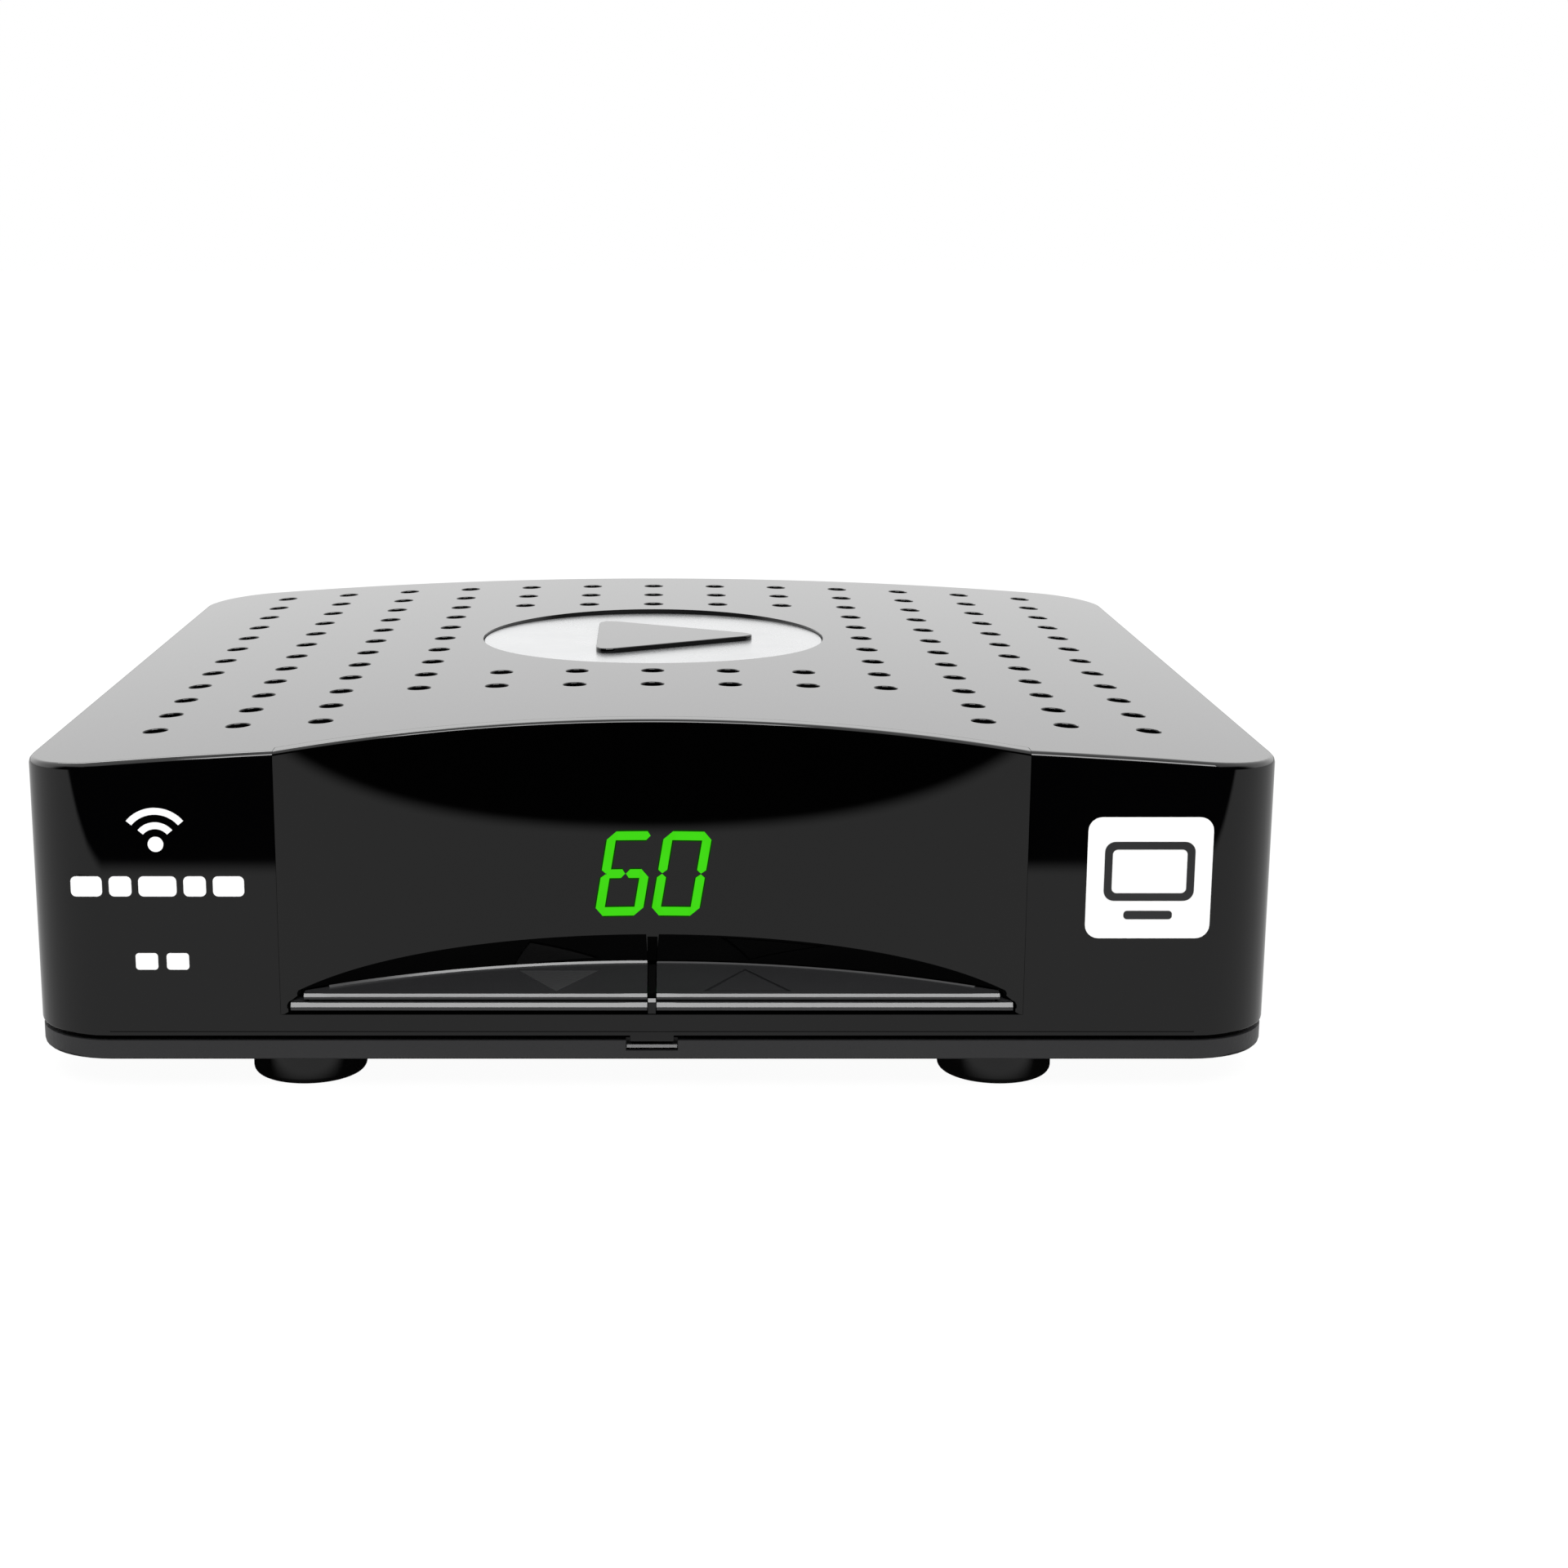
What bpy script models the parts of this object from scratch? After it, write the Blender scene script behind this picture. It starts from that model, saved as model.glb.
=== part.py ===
"""Satellite set-top recorder: a small gloss black box with a crowned, vented top, a scooped
front window with a green two-digit display, two channel keys on the ledge below it, a base
tray on four rubber feet, and the boards, switches and rear sockets that make it work.

Metres, +Z up. The front faces -Y, and the origin is on the surface that the feet stand on,
under the middle of the whole box, rear sockets included.
"""

import math

import bmesh
import bpy
from mathutils import Euler, Matrix, Vector

# --- Driving dimensions, in metres ---------------------------------------------------------

GAP = 0.0003  # between two pieces that touch on the real object

# Cover
WIDTH = 0.1466
DEPTH = 0.137
APEX = 0.0421  # highest line of the crowned top
CROWN_RADIUS = 0.832
CORNER_RADIUS = 0.010
WALL = 0.002
COVER_BOTTOM = 0.0068
SOCKET_REACH = 0.007  # how far the rear sockets stand out past the cover
FRONT = -(DEPTH + SOCKET_REACH) / 2
BACK = FRONT + DEPTH
SOCKET_END = BACK + SOCKET_REACH

# Vents, counted from the column in the middle and from the row at the front
VENT_PITCH = 0.010
VENT_RADIUS = 0.0015
VENT_MARGIN = 0.009  # least distance from the last vents to the cover's edges
VENT_COLUMNS = math.floor((WIDTH / 2 - VENT_MARGIN) / VENT_PITCH)  # each side of the middle
FIRST_VENT_ROW = 0.0173  # behind the front
VENT_ROWS = 1 + math.floor((DEPTH - VENT_MARGIN - FIRST_VENT_ROW) / VENT_PITCH)
SCOOP_ROWS = 2  # rows that stop beside the scoop
SCOOP_FIRST_COLUMN = 4
EMBLEM_ROW = 6  # the row through the middle of the emblem
EMBLEM_ROWS = 2  # rows on each side of it that stop beside the emblem
EMBLEM_FIRST_COLUMN = 3

# Emblem on the top
EMBLEM_BACK = FIRST_VENT_ROW + EMBLEM_ROW * VENT_PITCH  # behind the front
EMBLEM_RADIUS = 0.0244
EMBLEM_FLOOR = 0.0014  # below the apex
EMBLEM_THICKNESS = 0.0004
SYMBOL_RADIUS = 0.0145
SYMBOL_HEIGHT = 0.0004

# Scoop and window
SCOOP_HALF = 0.043
SCOOP_DEPTH = 0.0132
SCOOP_RADIUS = (SCOOP_HALF**2 + SCOOP_DEPTH**2) / (2 * SCOOP_DEPTH)
SCOOP_AXIS = FRONT + SCOOP_DEPTH - SCOOP_RADIUS
WINDOW_THICKNESS = 0.002

# Front bar and channel keys
BAR_TOP = 0.0096
KEY_BOTTOM = 0.0101
KEY_TOP = 0.0120
KEY_HALF = 0.0415
KEY_SPLIT = 0.0011
KEY_TUCK = 0.001  # how far a key reaches behind the window
KEY_TRAVEL = 0.0004
STEM_X = 0.011
STEM_WIDTH = 0.006
WINDOW_BOTTOM = KEY_TOP + GAP
WINDOW_REAR = FRONT + SCOOP_DEPTH + WINDOW_THICKNESS  # behind the middle of the window

# Base tray
TRAY_BOTTOM = 0.004
TRAY_FLOOR = 0.002
TRAY_RIM = 0.0063
TRAY_INSET = 0.0003
LIP_THICKNESS = 0.0015
LIP_TOP = 0.009
TAB_HALF = 0.00295
TAB_DROP = 0.0011  # below the cover's edge
NOTCH_MARGIN = 0.0004

# Key switches, on a small board that lies on the tray's floor
KEY_BOARD_BOTTOM = TRAY_BOTTOM + TRAY_FLOOR + GAP
KEY_BOARD_THICKNESS = 0.001
KEY_BOARD_WIDTH = 0.044
KEY_BOARD_DEPTH = 0.0065
SWITCH_SIZE = 0.0045
SWITCH_HEIGHT = 0.0015
SWITCH_BEHIND_WINDOW = 0.001
SWITCH_Y = WINDOW_REAR + SWITCH_BEHIND_WINDOW + SWITCH_SIZE / 2
SWITCH_BOTTOM = KEY_BOARD_BOTTOM + KEY_BOARD_THICKNESS + GAP
SWITCH_TOP = SWITCH_BOTTOM + SWITCH_HEIGHT
STEM_END = SWITCH_Y + SWITCH_SIZE / 2
PLUNGER_RADIUS = 0.001
PLUNGER_TOP = KEY_BOTTOM - GAP
PLUNGER_BURIED = 0.0003

# Feet
FOOT_RADIUS = 0.0067
FOOT_EDGE = 0.00084  # rounding of the lower edge
FOOT_RECESS = 0.0006
FOOT_X = 0.0413
FOOT_INSET_FRONT = 0.0094
FOOT_INSET_BACK = 0.012

# Case screws and the bosses that take them
BOSS_RADIUS = 0.0033
BOSS_CLEARANCE = 0.00075  # between a boss and the tray's lip
BOSS_X = WIDTH / 2 - WALL - GAP - LIP_THICKNESS - BOSS_CLEARANCE - BOSS_RADIUS
BOSS_INSET = 0.011
CASE_SHANK_RADIUS = 0.0012
CASE_SHANK_LENGTH = 0.011
CASE_HEAD_RADIUS = 0.0027
CASE_HEAD_HEIGHT = 0.0008
CASE_HEAD_SINK = 0.0001

# Rear panel
BOARD_SIDE = 0.0025  # between the main board and the bosses
BOARD_WIDTH = 2 * (BOSS_X - BOSS_RADIUS - BOARD_SIDE)
PANEL_SHORT = 0.001  # how far each end stops short of the main board's sides
PANEL_WIDTH = BOARD_WIDTH - 2 * PANEL_SHORT
PANEL_THICKNESS = 0.001
UPRIGHT_DROP = 0.0101  # from the apex down to the tops of the rear panel and display board
PANEL_TOP = APEX - UPRIGHT_DROP
REAR_MARGIN = 0.002  # the panel's overlap behind the cover's opening
REAR_OPEN_BOTTOM = 0.0105
PANEL_REAR = BACK - WALL - GAP
PANEL_FRONT = PANEL_REAR - PANEL_THICKNESS

# Main board
BOARD_SETBACK = 0.052  # the cover's depth that the main board leaves free
BOARD_DEPTH = DEPTH - BOARD_SETBACK
BOARD_THICKNESS = 0.0016
BOARD_BOTTOM = 0.010
BOARD_TOP = BOARD_BOTTOM + BOARD_THICKNESS
BOARD_REAR = PANEL_FRONT - GAP
BOARD_FRONT = BOARD_REAR - BOARD_DEPTH
PARTS_Z = BOARD_TOP + GAP  # where the parts on the board stand
STANDOFF_RADIUS = 0.003
STANDOFF_SIDE_INSET = 0.0035
STANDOFF_X = BOARD_WIDTH / 2 - STANDOFF_SIDE_INSET
STANDOFF_FRONT_INSET = 0.0035
STANDOFF_REAR_INSET = 0.0165
BOARD_SHANK_RADIUS = 0.001
BOARD_SHANK_LENGTH = 0.005
BOARD_HEAD_RADIUS = 0.0025
BOARD_HEAD_HEIGHT = 0.0014
HEAD_FLAT = 0.8  # share of a screw head's radius that is flat
HEAD_SHOULDER = 0.6  # share of a screw head's height below its slope

# Display board and what it carries
LED_WIDTH = 0.020
LED_HEIGHT = 0.0155
LED_DEPTH = 0.0070
LED_BEHIND_WINDOW = 0.0007
LED_DROP = 0.004  # below the middle of the window
LED_Z = (WINDOW_BOTTOM + APEX) / 2 - LED_DROP
DISPLAY_BOARD_FRONT = WINDOW_REAR + LED_BEHIND_WINDOW + LED_DEPTH + GAP
DISPLAY_BOARD_THICKNESS = 0.0016
DISPLAY_BOARD_WIDTH = 0.076
DISPLAY_BOARD_TOP = APEX - UPRIGHT_DROP
RECEIVER_X = -0.025
RECEIVER_RADIUS = 0.0025
RECEIVER_HEIGHT = 0.007
RECEIVER_DEPTH = 0.004
RECEIVER_LENS_RADIUS = 0.002
RIBBON_WIDTH = 0.012
RIBBON_THICKNESS = 0.0008
RIBBON_FALL = 0.8  # share of its reach over which it comes down to the main board

# Rear sockets, from left to right seen from the front
SUPPLY_MARGIN = 0.010  # from the panel's end
SUPPLY_X = -PANEL_WIDTH / 2 + SUPPLY_MARGIN
SUPPLY_WIDTH = 0.009
SUPPLY_HEIGHT = 0.011
SUPPLY_DEPTH = 0.014
SUPPLY_COLLAR_RADIUS = 0.004
SUPPLY_BORE_RADIUS = 0.00275
SUPPLY_BORE_DEPTH = 0.0095
SUPPLY_PIN_RADIUS = 0.001
SUPPLY_TO_RF = 0.012
RF_X = SUPPLY_X + SUPPLY_TO_RF
RF_WIDTH = 0.0086
RF_HEIGHT = 0.005
RF_DEPTH = 0.006
RF_TRAVEL = 0.002
RF_NIB = 0.002
RF_NIB_BURIED = 0.0015
RF_TO_USB = 0.014
USB_X = RF_X + RF_TO_USB
USB_WIDTH = 0.0131
USB_HEIGHT = 0.0057
USB_DEPTH = 0.0140
USB_SHELL = 0.0004
USB_TONGUE = 0.0016
USB_TONGUE_WIDTH = 0.0112
USB_TO_PHONO = 0.022
PHONO_X = USB_X + USB_TO_PHONO  # the middle one of the three
PHONO_PITCH = 0.010
PHONO_BODY = 0.0094
PHONO_DEPTH = 0.011
PHONO_HEIGHT = 0.013
PHONO_RADIUS = 0.00415
PHONO_BORE_RADIUS = 0.0016
PHONO_BORE_DEPTH = 0.009
AERIAL_PITCH = 0.016
AERIAL_MARGIN = 0.014  # from the panel's end
AERIAL_RIGHT = PANEL_WIDTH / 2 - AERIAL_MARGIN
AERIAL_XS = (AERIAL_RIGHT - AERIAL_PITCH, AERIAL_RIGHT)
AERIAL_Z = 0.020
AERIAL_RADIUS = 0.0047
AERIAL_COLLAR_RADIUS = 0.0058
AERIAL_COLLAR = 0.002
AERIAL_BORE_RADIUS = 0.0012
AERIAL_BORE_DEPTH = 0.008
TUNER_WIDTH = 0.032
TUNER_DEPTH = 0.032
TUNER_HEIGHT = 0.0165
TUNER_SETBACK = 0.0037  # between the tuner and the rear panel
HOLE_CLEARANCE = 0.0004  # round each socket in the rear panel

# Parts on the main board: centre x, then centre y behind the board's front edge
CHIP_SIZE = 0.024
CHIP_HEIGHT = 0.0018
CHIP_PLACE = (0.002, 0.030)
HEATSINK_SIZE = 0.023
HEATSINK_BASE = 0.0018
HEATSINK_HEIGHT = 0.009
HEATSINK_FINS = 6
FIN_THICKNESS = 0.0012
MEMORY_SIZE = (0.018, 0.010, 0.0012)
MEMORY_PLACE = (-0.030, 0.020)
CRYSTAL_SIZE = (0.0110, 0.0046, 0.0035)
CRYSTAL_PLACE = (0.028, 0.018)

# Parts behind the rear sockets: centre x, then centre y in front of the board's rear edge
INDUCTOR_SIZE = (0.0100, 0.0100, 0.0050)
INDUCTOR_PLACE = (-0.030, SUPPLY_DEPTH + 0.016)
CAPACITOR_GAP = 0.002  # between a capacitor and its neighbour
INPUT_RADIUS = 0.0040
OUTPUT_RADIUS = 0.0032
INPUT_AHEAD = SUPPLY_DEPTH + CAPACITOR_GAP + INPUT_RADIUS
OUTPUT_AHEAD = INPUT_AHEAD + INPUT_RADIUS + CAPACITOR_GAP + OUTPUT_RADIUS
TUNER_AHEAD = TUNER_SETBACK + TUNER_DEPTH + CAPACITOR_GAP + OUTPUT_RADIUS
CAPACITORS = {
    "capacitor_input": (SUPPLY_X, INPUT_AHEAD, INPUT_RADIUS, 0.0140),
    "capacitor_output": (SUPPLY_X, OUTPUT_AHEAD, OUTPUT_RADIUS, 0.0110),
    "capacitor_tuner": (AERIAL_RIGHT, TUNER_AHEAD, OUTPUT_RADIUS, 0.0110),
}

ROUND_SIDES = 32
SMALL_SIDES = 16
VENT_SIDES = 8
ARC_STEPS = 24
CORNER_STEPS = 6
SCREW_SIDES = 16

BLACK_GLOSS = ((0.012, 0.012, 0.013), 0.12, 0.0)
BLACK_SATIN = ((0.035, 0.035, 0.037), 0.45, 0.0)
SMOKED = ((0.008, 0.008, 0.009), 0.06, 0.0)
RUBBER = ((0.02, 0.02, 0.02), 0.8, 0.0)
SILVER = ((0.78, 0.79, 0.80), 0.28, 0.9)
STEEL = ((0.62, 0.62, 0.63), 0.35, 1.0)
NICKEL = ((0.74, 0.73, 0.70), 0.25, 1.0)
BOARD_GREEN = ((0.03, 0.16, 0.07), 0.4, 0.0)
WHITE = ((0.8, 0.8, 0.78), 0.5, 0.0)
GREY = ((0.30, 0.30, 0.31), 0.5, 0.0)
ALUMINIUM = ((0.55, 0.56, 0.58), 0.4, 1.0)
YELLOW = ((0.75, 0.55, 0.03), 0.4, 0.0)
RED = ((0.60, 0.03, 0.03), 0.4, 0.0)

PHONO_COLOURS = {"yellow": YELLOW, "white": WHITE, "red": RED}


# --- Building tools ------------------------------------------------------------------------


def clear_scene():
    """Removes every object, so that only the recorder is left."""
    for old in list(bpy.data.objects):
        bpy.data.objects.remove(old, do_unlink=True)


def make_collection(name):
    collection = bpy.data.collections.new(name)
    bpy.context.scene.collection.children.link(collection)
    return collection


def make_material(name, look):
    """A Principled material from (colour, roughness, metallic)."""
    colour, roughness, metallic = look
    material = bpy.data.materials.new(name)
    material.use_nodes = True
    shader = material.node_tree.nodes["Principled BSDF"]
    shader.inputs["Base Color"].default_value = (*colour, 1.0)
    shader.inputs["Roughness"].default_value = roughness
    shader.inputs["Metallic"].default_value = metallic
    return material


def add_object(name, mesh, look=None):
    """Links a mesh as a part, or as a hidden cutter when it has no look."""
    thing = bpy.data.objects.new(name, mesh)
    if look is None:
        CUTTERS.objects.link(thing)
        thing.hide_render = True
        thing.display_type = "WIRE"
    else:
        PARTS.objects.link(thing)
        mesh.materials.append(make_material(name, look))
    return thing


def finish_mesh(name, bm, look, location):
    bmesh.ops.recalc_face_normals(bm, faces=bm.faces)
    mesh = bpy.data.meshes.new(name)
    bm.to_mesh(mesh)
    bm.free()
    mesh.shade_smooth()
    mesh.set_sharp_from_angle(angle=math.radians(35))
    thing = add_object(name, mesh, look)
    thing.location = location
    return thing


def box(name, low, high, look=None):
    """A box between two corners, with its origin in its middle."""
    low, high = Vector(low), Vector(high)
    bm = bmesh.new()
    bmesh.ops.create_cube(bm, size=1.0, matrix=Matrix.Diagonal((*(high - low), 1.0)))
    return finish_mesh(name, bm, look, (low + high) / 2)


def standing_box(name, x, y, size, z, look=None):
    """A box of this size that stands at height z, centred on x and y."""
    half_x, half_y = size[0] / 2, size[1] / 2
    return box(name, (x - half_x, y - half_y, z), (x + half_x, y + half_y, z + size[2]), look)


def rods(name, places, radius, start, end, axis="Z", sides=ROUND_SIDES, look=None):
    """Parallel cylinders from start to end along an axis, one at each place across it."""
    bm = bmesh.new()
    turn = Euler((math.radians(90), 0, 0)).to_matrix().to_4x4() if axis == "Y" else Matrix()
    middle = (start + end) / 2
    for across, other in places:
        centre = (across, middle, other) if axis == "Y" else (across, other, middle)
        bmesh.ops.create_cone(
            bm,
            cap_ends=True,
            segments=sides,
            radius1=radius,
            radius2=radius,
            depth=end - start,
            matrix=Matrix.Translation(centre) @ turn @ Matrix.Rotation(math.pi / sides, 4, "Z"),
        )
    return finish_mesh(name, bm, look, (0, 0, 0))


def turned(name, profile, location, sides, look=None, rotation=(0, 0, 0)):
    """A profile of (radius, height) points, outer side downwards, turned about Z."""
    mesh = bpy.data.meshes.new(name)
    bm = bmesh.new()
    corners = [bm.verts.new((radius, 0, height)) for radius, height in profile]
    for first, second in zip(corners, corners[1:]):
        bm.edges.new((first, second))
    bm.to_mesh(mesh)
    bm.free()
    thing = add_object(name, mesh, look)
    thing.location = location
    thing.rotation_euler = rotation
    screw = thing.modifiers.new("turn", "SCREW")
    screw.steps = sides
    screw.render_steps = sides
    screw.use_merge_vertices = True
    screw.merge_threshold = 0.00001
    screw.use_smooth_shade = False
    return thing


def outline_prism(name, outline, low, high, look=None, rotation=(0, 0, 0)):
    """A flat outline, filled and given thickness from low to high along its own Z."""
    curve = bpy.data.curves.new(name, "CURVE")
    curve.dimensions = "2D"
    curve.fill_mode = "BOTH"
    curve.extrude = (high - low) / 2
    spline = curve.splines.new("POLY")
    spline.points.add(len(outline) - 1)
    for point, (x, y) in zip(spline.points, outline):
        point.co = (x, y, 0, 1)
    spline.use_cyclic_u = True
    guide = bpy.data.objects.new(name + "_outline", curve)
    CUTTERS.objects.link(guide)
    bpy.context.view_layer.update()
    mesh = bpy.data.meshes.new_from_object(
        guide.evaluated_get(bpy.context.evaluated_depsgraph_get())
    )
    bpy.data.objects.remove(guide)
    bm = bmesh.new()
    bm.from_mesh(mesh)
    bmesh.ops.remove_doubles(bm, verts=bm.verts, dist=0.000001)
    bmesh.ops.translate(bm, verts=bm.verts, vec=(0, 0, (low + high) / 2))
    thing = finish_mesh(name, bm, look, (0, 0, 0))
    bpy.data.meshes.remove(mesh)
    thing.rotation_euler = rotation
    return thing


def combine(thing, other, operation):
    """Adds one Boolean step: UNION, DIFFERENCE or INTERSECT."""
    step = thing.modifiers.new(other.name, "BOOLEAN")
    step.operation = operation
    step.solver = "EXACT"
    step.object = other


def cut(thing, *cutters):
    for cutter in cutters:
        combine(thing, cutter, "DIFFERENCE")


def join(thing, *others):
    for other in others:
        combine(thing, other, "UNION")


# --- Outlines ------------------------------------------------------------------------------


def plan_outline(inset):
    """The box's rounded rectangle in plan, moved inwards by the inset."""
    radius = CORNER_RADIUS - inset
    half = WIDTH / 2 - inset
    corners = (
        (half - radius, FRONT + inset + radius, -90),
        (half - radius, BACK - inset - radius, 0),
        (-half + radius, BACK - inset - radius, 90),
        (-half + radius, FRONT + inset + radius, 180),
    )
    points = []
    for x, y, start in corners:
        for step in range(CORNER_STEPS + 1):
            angle = math.radians(start + 90 * step / CORNER_STEPS)
            points.append((x + radius * math.cos(angle), y + radius * math.sin(angle)))
    return points


def scoop_arc(radius, left, right):
    """Points of an arc about the scoop's axis, from left to right."""
    start, end = math.asin(left / radius), math.asin(right / radius)
    turns = [start + (end - start) * step / ARC_STEPS for step in range(ARC_STEPS + 1)]
    return [(radius * math.sin(turn), SCOOP_AXIS + radius * math.cos(turn)) for turn in turns]


def crown_height(x):
    """Height of the crowned top at x."""
    return APEX - x * x / (2 * CROWN_RADIUS)


def crown_block(name, drop):
    """A block whose top follows the crown, lowered by the drop, with an edge between vents."""
    columns = math.ceil((WIDTH / 2) / VENT_PITCH + 0.5)
    edges = [(column - 0.5) * VENT_PITCH for column in range(-columns + 1, columns + 1)]
    top = [(x, crown_height(x) - drop) for x in reversed(edges)]
    outline = [(edges[0], -APEX), (edges[-1], -APEX), *top]
    reach = DEPTH
    return outline_prism(name, outline, -reach, reach, rotation=(math.radians(90), 0, 0))


# --- Cover and window ----------------------------------------------------------------------


def vent_places():
    """The vents, with the columns left out in front of the scoop and around the emblem."""
    places = []
    for row in range(VENT_ROWS):
        first_column = 0
        if row < SCOOP_ROWS:
            first_column = SCOOP_FIRST_COLUMN
        elif abs(row - EMBLEM_ROW) <= EMBLEM_ROWS:
            first_column = EMBLEM_FIRST_COLUMN
        for column in range(-VENT_COLUMNS, VENT_COLUMNS + 1):
            if abs(column) >= first_column:
                y = FRONT + FIRST_VENT_ROW + row * VENT_PITCH
                places.append((column * VENT_PITCH, y))
    return places


def boss_places():
    ys = (FRONT + BOSS_INSET, BACK - BOSS_INSET)
    return [(side * BOSS_X, y) for side in (-1, 1) for y in ys]


def make_cover():
    """The one-piece cover: top, sides, front wings, lower front bar and rear wall."""
    cover = outline_prism("top_cover", plan_outline(0), COVER_BOTTOM, APEX + WALL, BLACK_GLOSS)
    combine(cover, crown_block("cover_crown", 0), "INTERSECT")
    cavity = outline_prism("cover_cavity", plan_outline(WALL), -WALL, APEX + WALL)
    combine(cavity, crown_block("cavity_crown", WALL), "INTERSECT")
    cut(cover, cavity)
    boss_bottom = TRAY_BOTTOM + TRAY_FLOOR + GAP
    boss_top = crown_height(BOSS_X) - WALL / 2
    join(cover, rods("cover_bosses", boss_places(), BOSS_RADIUS, boss_bottom, boss_top))
    pilot_top = CASE_SHANK_LENGTH + TRAY_BOTTOM + 2 * CASE_HEAD_HEIGHT
    pilots = rods(
        "cover_pilots",
        boss_places(),
        CASE_SHANK_RADIUS + GAP,
        -WALL,
        pilot_top,
        sides=SMALL_SIDES,
    )
    half = SCOOP_HALF + GAP
    edge = scoop_arc(SCOOP_RADIUS + WINDOW_THICKNESS + GAP, -half, half)
    mouth = FRONT - SCOOP_DEPTH
    scoop = outline_prism(
        "cover_scoop", [(half, mouth), *reversed(edge), (-half, mouth)], BAR_TOP, APEX + WALL
    )
    emblem_place = [(0, FRONT + EMBLEM_BACK)]
    recess = rods(
        "emblem_recess",
        emblem_place,
        EMBLEM_RADIUS + GAP,
        APEX - EMBLEM_FLOOR,
        APEX + WALL,
        sides=2 * ROUND_SIDES,
    )
    vents = rods(
        "cover_vents",
        vent_places(),
        VENT_RADIUS,
        crown_height(WIDTH / 2) - 2 * WALL,
        APEX + WALL,
        sides=VENT_SIDES,
    )
    opening_half = PANEL_WIDTH / 2 - REAR_MARGIN
    rear_opening = box(
        "rear_opening",
        (-opening_half, BACK - 2 * WALL, REAR_OPEN_BOTTOM),
        (opening_half, BACK + WALL, PANEL_TOP - REAR_MARGIN),
    )
    tab = box(
        "cover_tab",
        (-TAB_HALF, FRONT + TRAY_INSET, COVER_BOTTOM - TAB_DROP),
        (TAB_HALF, FRONT + WALL / 2, COVER_BOTTOM + WALL / 2),
    )
    cut(cover, pilots, scoop, recess, vents, rear_opening)
    join(cover, tab)


def make_window():
    """The smoked window: a curved wall that fills the scoop from the keys up to the crown."""
    outer = scoop_arc(SCOOP_RADIUS, -SCOOP_HALF, SCOOP_HALF)
    inner = scoop_arc(SCOOP_RADIUS + WINDOW_THICKNESS, -SCOOP_HALF, SCOOP_HALF)
    window = outline_prism(
        "display_window", [*outer, *reversed(inner)], WINDOW_BOTTOM, APEX + WALL, SMOKED
    )
    combine(window, crown_block("window_crown", 0), "INTERSECT")


def make_emblem():
    """A plain disc in the recess on top, with a raised triangle of its own."""
    y = FRONT + EMBLEM_BACK
    plate_low = APEX - EMBLEM_FLOOR + GAP
    plate_high = plate_low + EMBLEM_THICKNESS
    rods(
        "emblem_plate",
        [(0, y)],
        EMBLEM_RADIUS,
        plate_low,
        plate_high,
        sides=2 * ROUND_SIDES,
        look=SILVER,
    )
    turns = [math.radians(120 * corner) for corner in range(3)]
    triangle = [
        (SYMBOL_RADIUS * math.cos(turn), y + SYMBOL_RADIUS * math.sin(turn)) for turn in turns
    ]
    symbol_low = plate_high + GAP
    outline_prism(
        "emblem_symbol", triangle, symbol_low, symbol_low + SYMBOL_HEIGHT, BLACK_GLOSS
    )


# --- Channel keys --------------------------------------------------------------------------


def make_key(name, side):
    """One channel key: the ledge on its side of the middle, and the stem to its switch."""
    inner, outer = KEY_SPLIT / 2, KEY_HALF
    radius = SCOOP_RADIUS + WINDOW_THICKNESS + KEY_TUCK
    edge = scoop_arc(radius, inner, outer)
    outline = [(side * x, y) for x, y in [(outer, FRONT), *reversed(edge), (inner, FRONT)]]
    key = outline_prism(name, outline, KEY_BOTTOM, KEY_TOP, BLACK_GLOSS)
    stem = box(
        name + "_stem",
        (side * STEM_X - STEM_WIDTH / 2, FRONT + SCOOP_DEPTH / 2, KEY_BOTTOM),
        (side * STEM_X + STEM_WIDTH / 2, STEM_END, KEY_TOP),
    )
    join(key, stem)


def make_key_board():
    """The small board under the stems of the keys, which carries their switches."""
    half_x, half_y = KEY_BOARD_WIDTH / 2, KEY_BOARD_DEPTH / 2
    box(
        "key_board",
        (-half_x, SWITCH_Y - half_y, KEY_BOARD_BOTTOM),
        (half_x, SWITCH_Y + half_y, KEY_BOARD_BOTTOM + KEY_BOARD_THICKNESS),
        BOARD_GREEN,
    )


def make_key_switch(name, side):
    """A push switch on the key board, with its plunger under the key's stem."""
    place = [(side * STEM_X, SWITCH_Y)]
    rods(
        name + "_plunger",
        place,
        PLUNGER_RADIUS,
        SWITCH_TOP - PLUNGER_BURIED,
        PLUNGER_TOP,
        sides=SMALL_SIDES,
        look=WHITE,
    )
    size = (SWITCH_SIZE, SWITCH_SIZE, SWITCH_HEIGHT)
    body = standing_box(
        name + "_switch", side * STEM_X, SWITCH_Y, size, SWITCH_BOTTOM, BLACK_SATIN
    )
    bore = rods(
        name + "_switch_bore",
        place,
        PLUNGER_RADIUS + GAP,
        SWITCH_TOP - PLUNGER_BURIED - KEY_TRAVEL - GAP,
        KEY_TOP,
        sides=SMALL_SIDES,
    )
    cut(body, bore)


# --- Base tray, feet and screws ------------------------------------------------------------


def foot_places():
    ys = {"front": FRONT + FOOT_INSET_FRONT, "rear": BACK - FOOT_INSET_BACK}
    sides = {"left": -FOOT_X, "right": FOOT_X}
    return {f"foot_{end}_{side}": (sides[side], ys[end]) for end in ys for side in sides}


def standoff_places():
    ys = (BOARD_FRONT + STANDOFF_FRONT_INSET, BOARD_REAR - STANDOFF_REAR_INSET)
    return [(side * STANDOFF_X, y) for side in (-1, 1) for y in ys]


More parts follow.
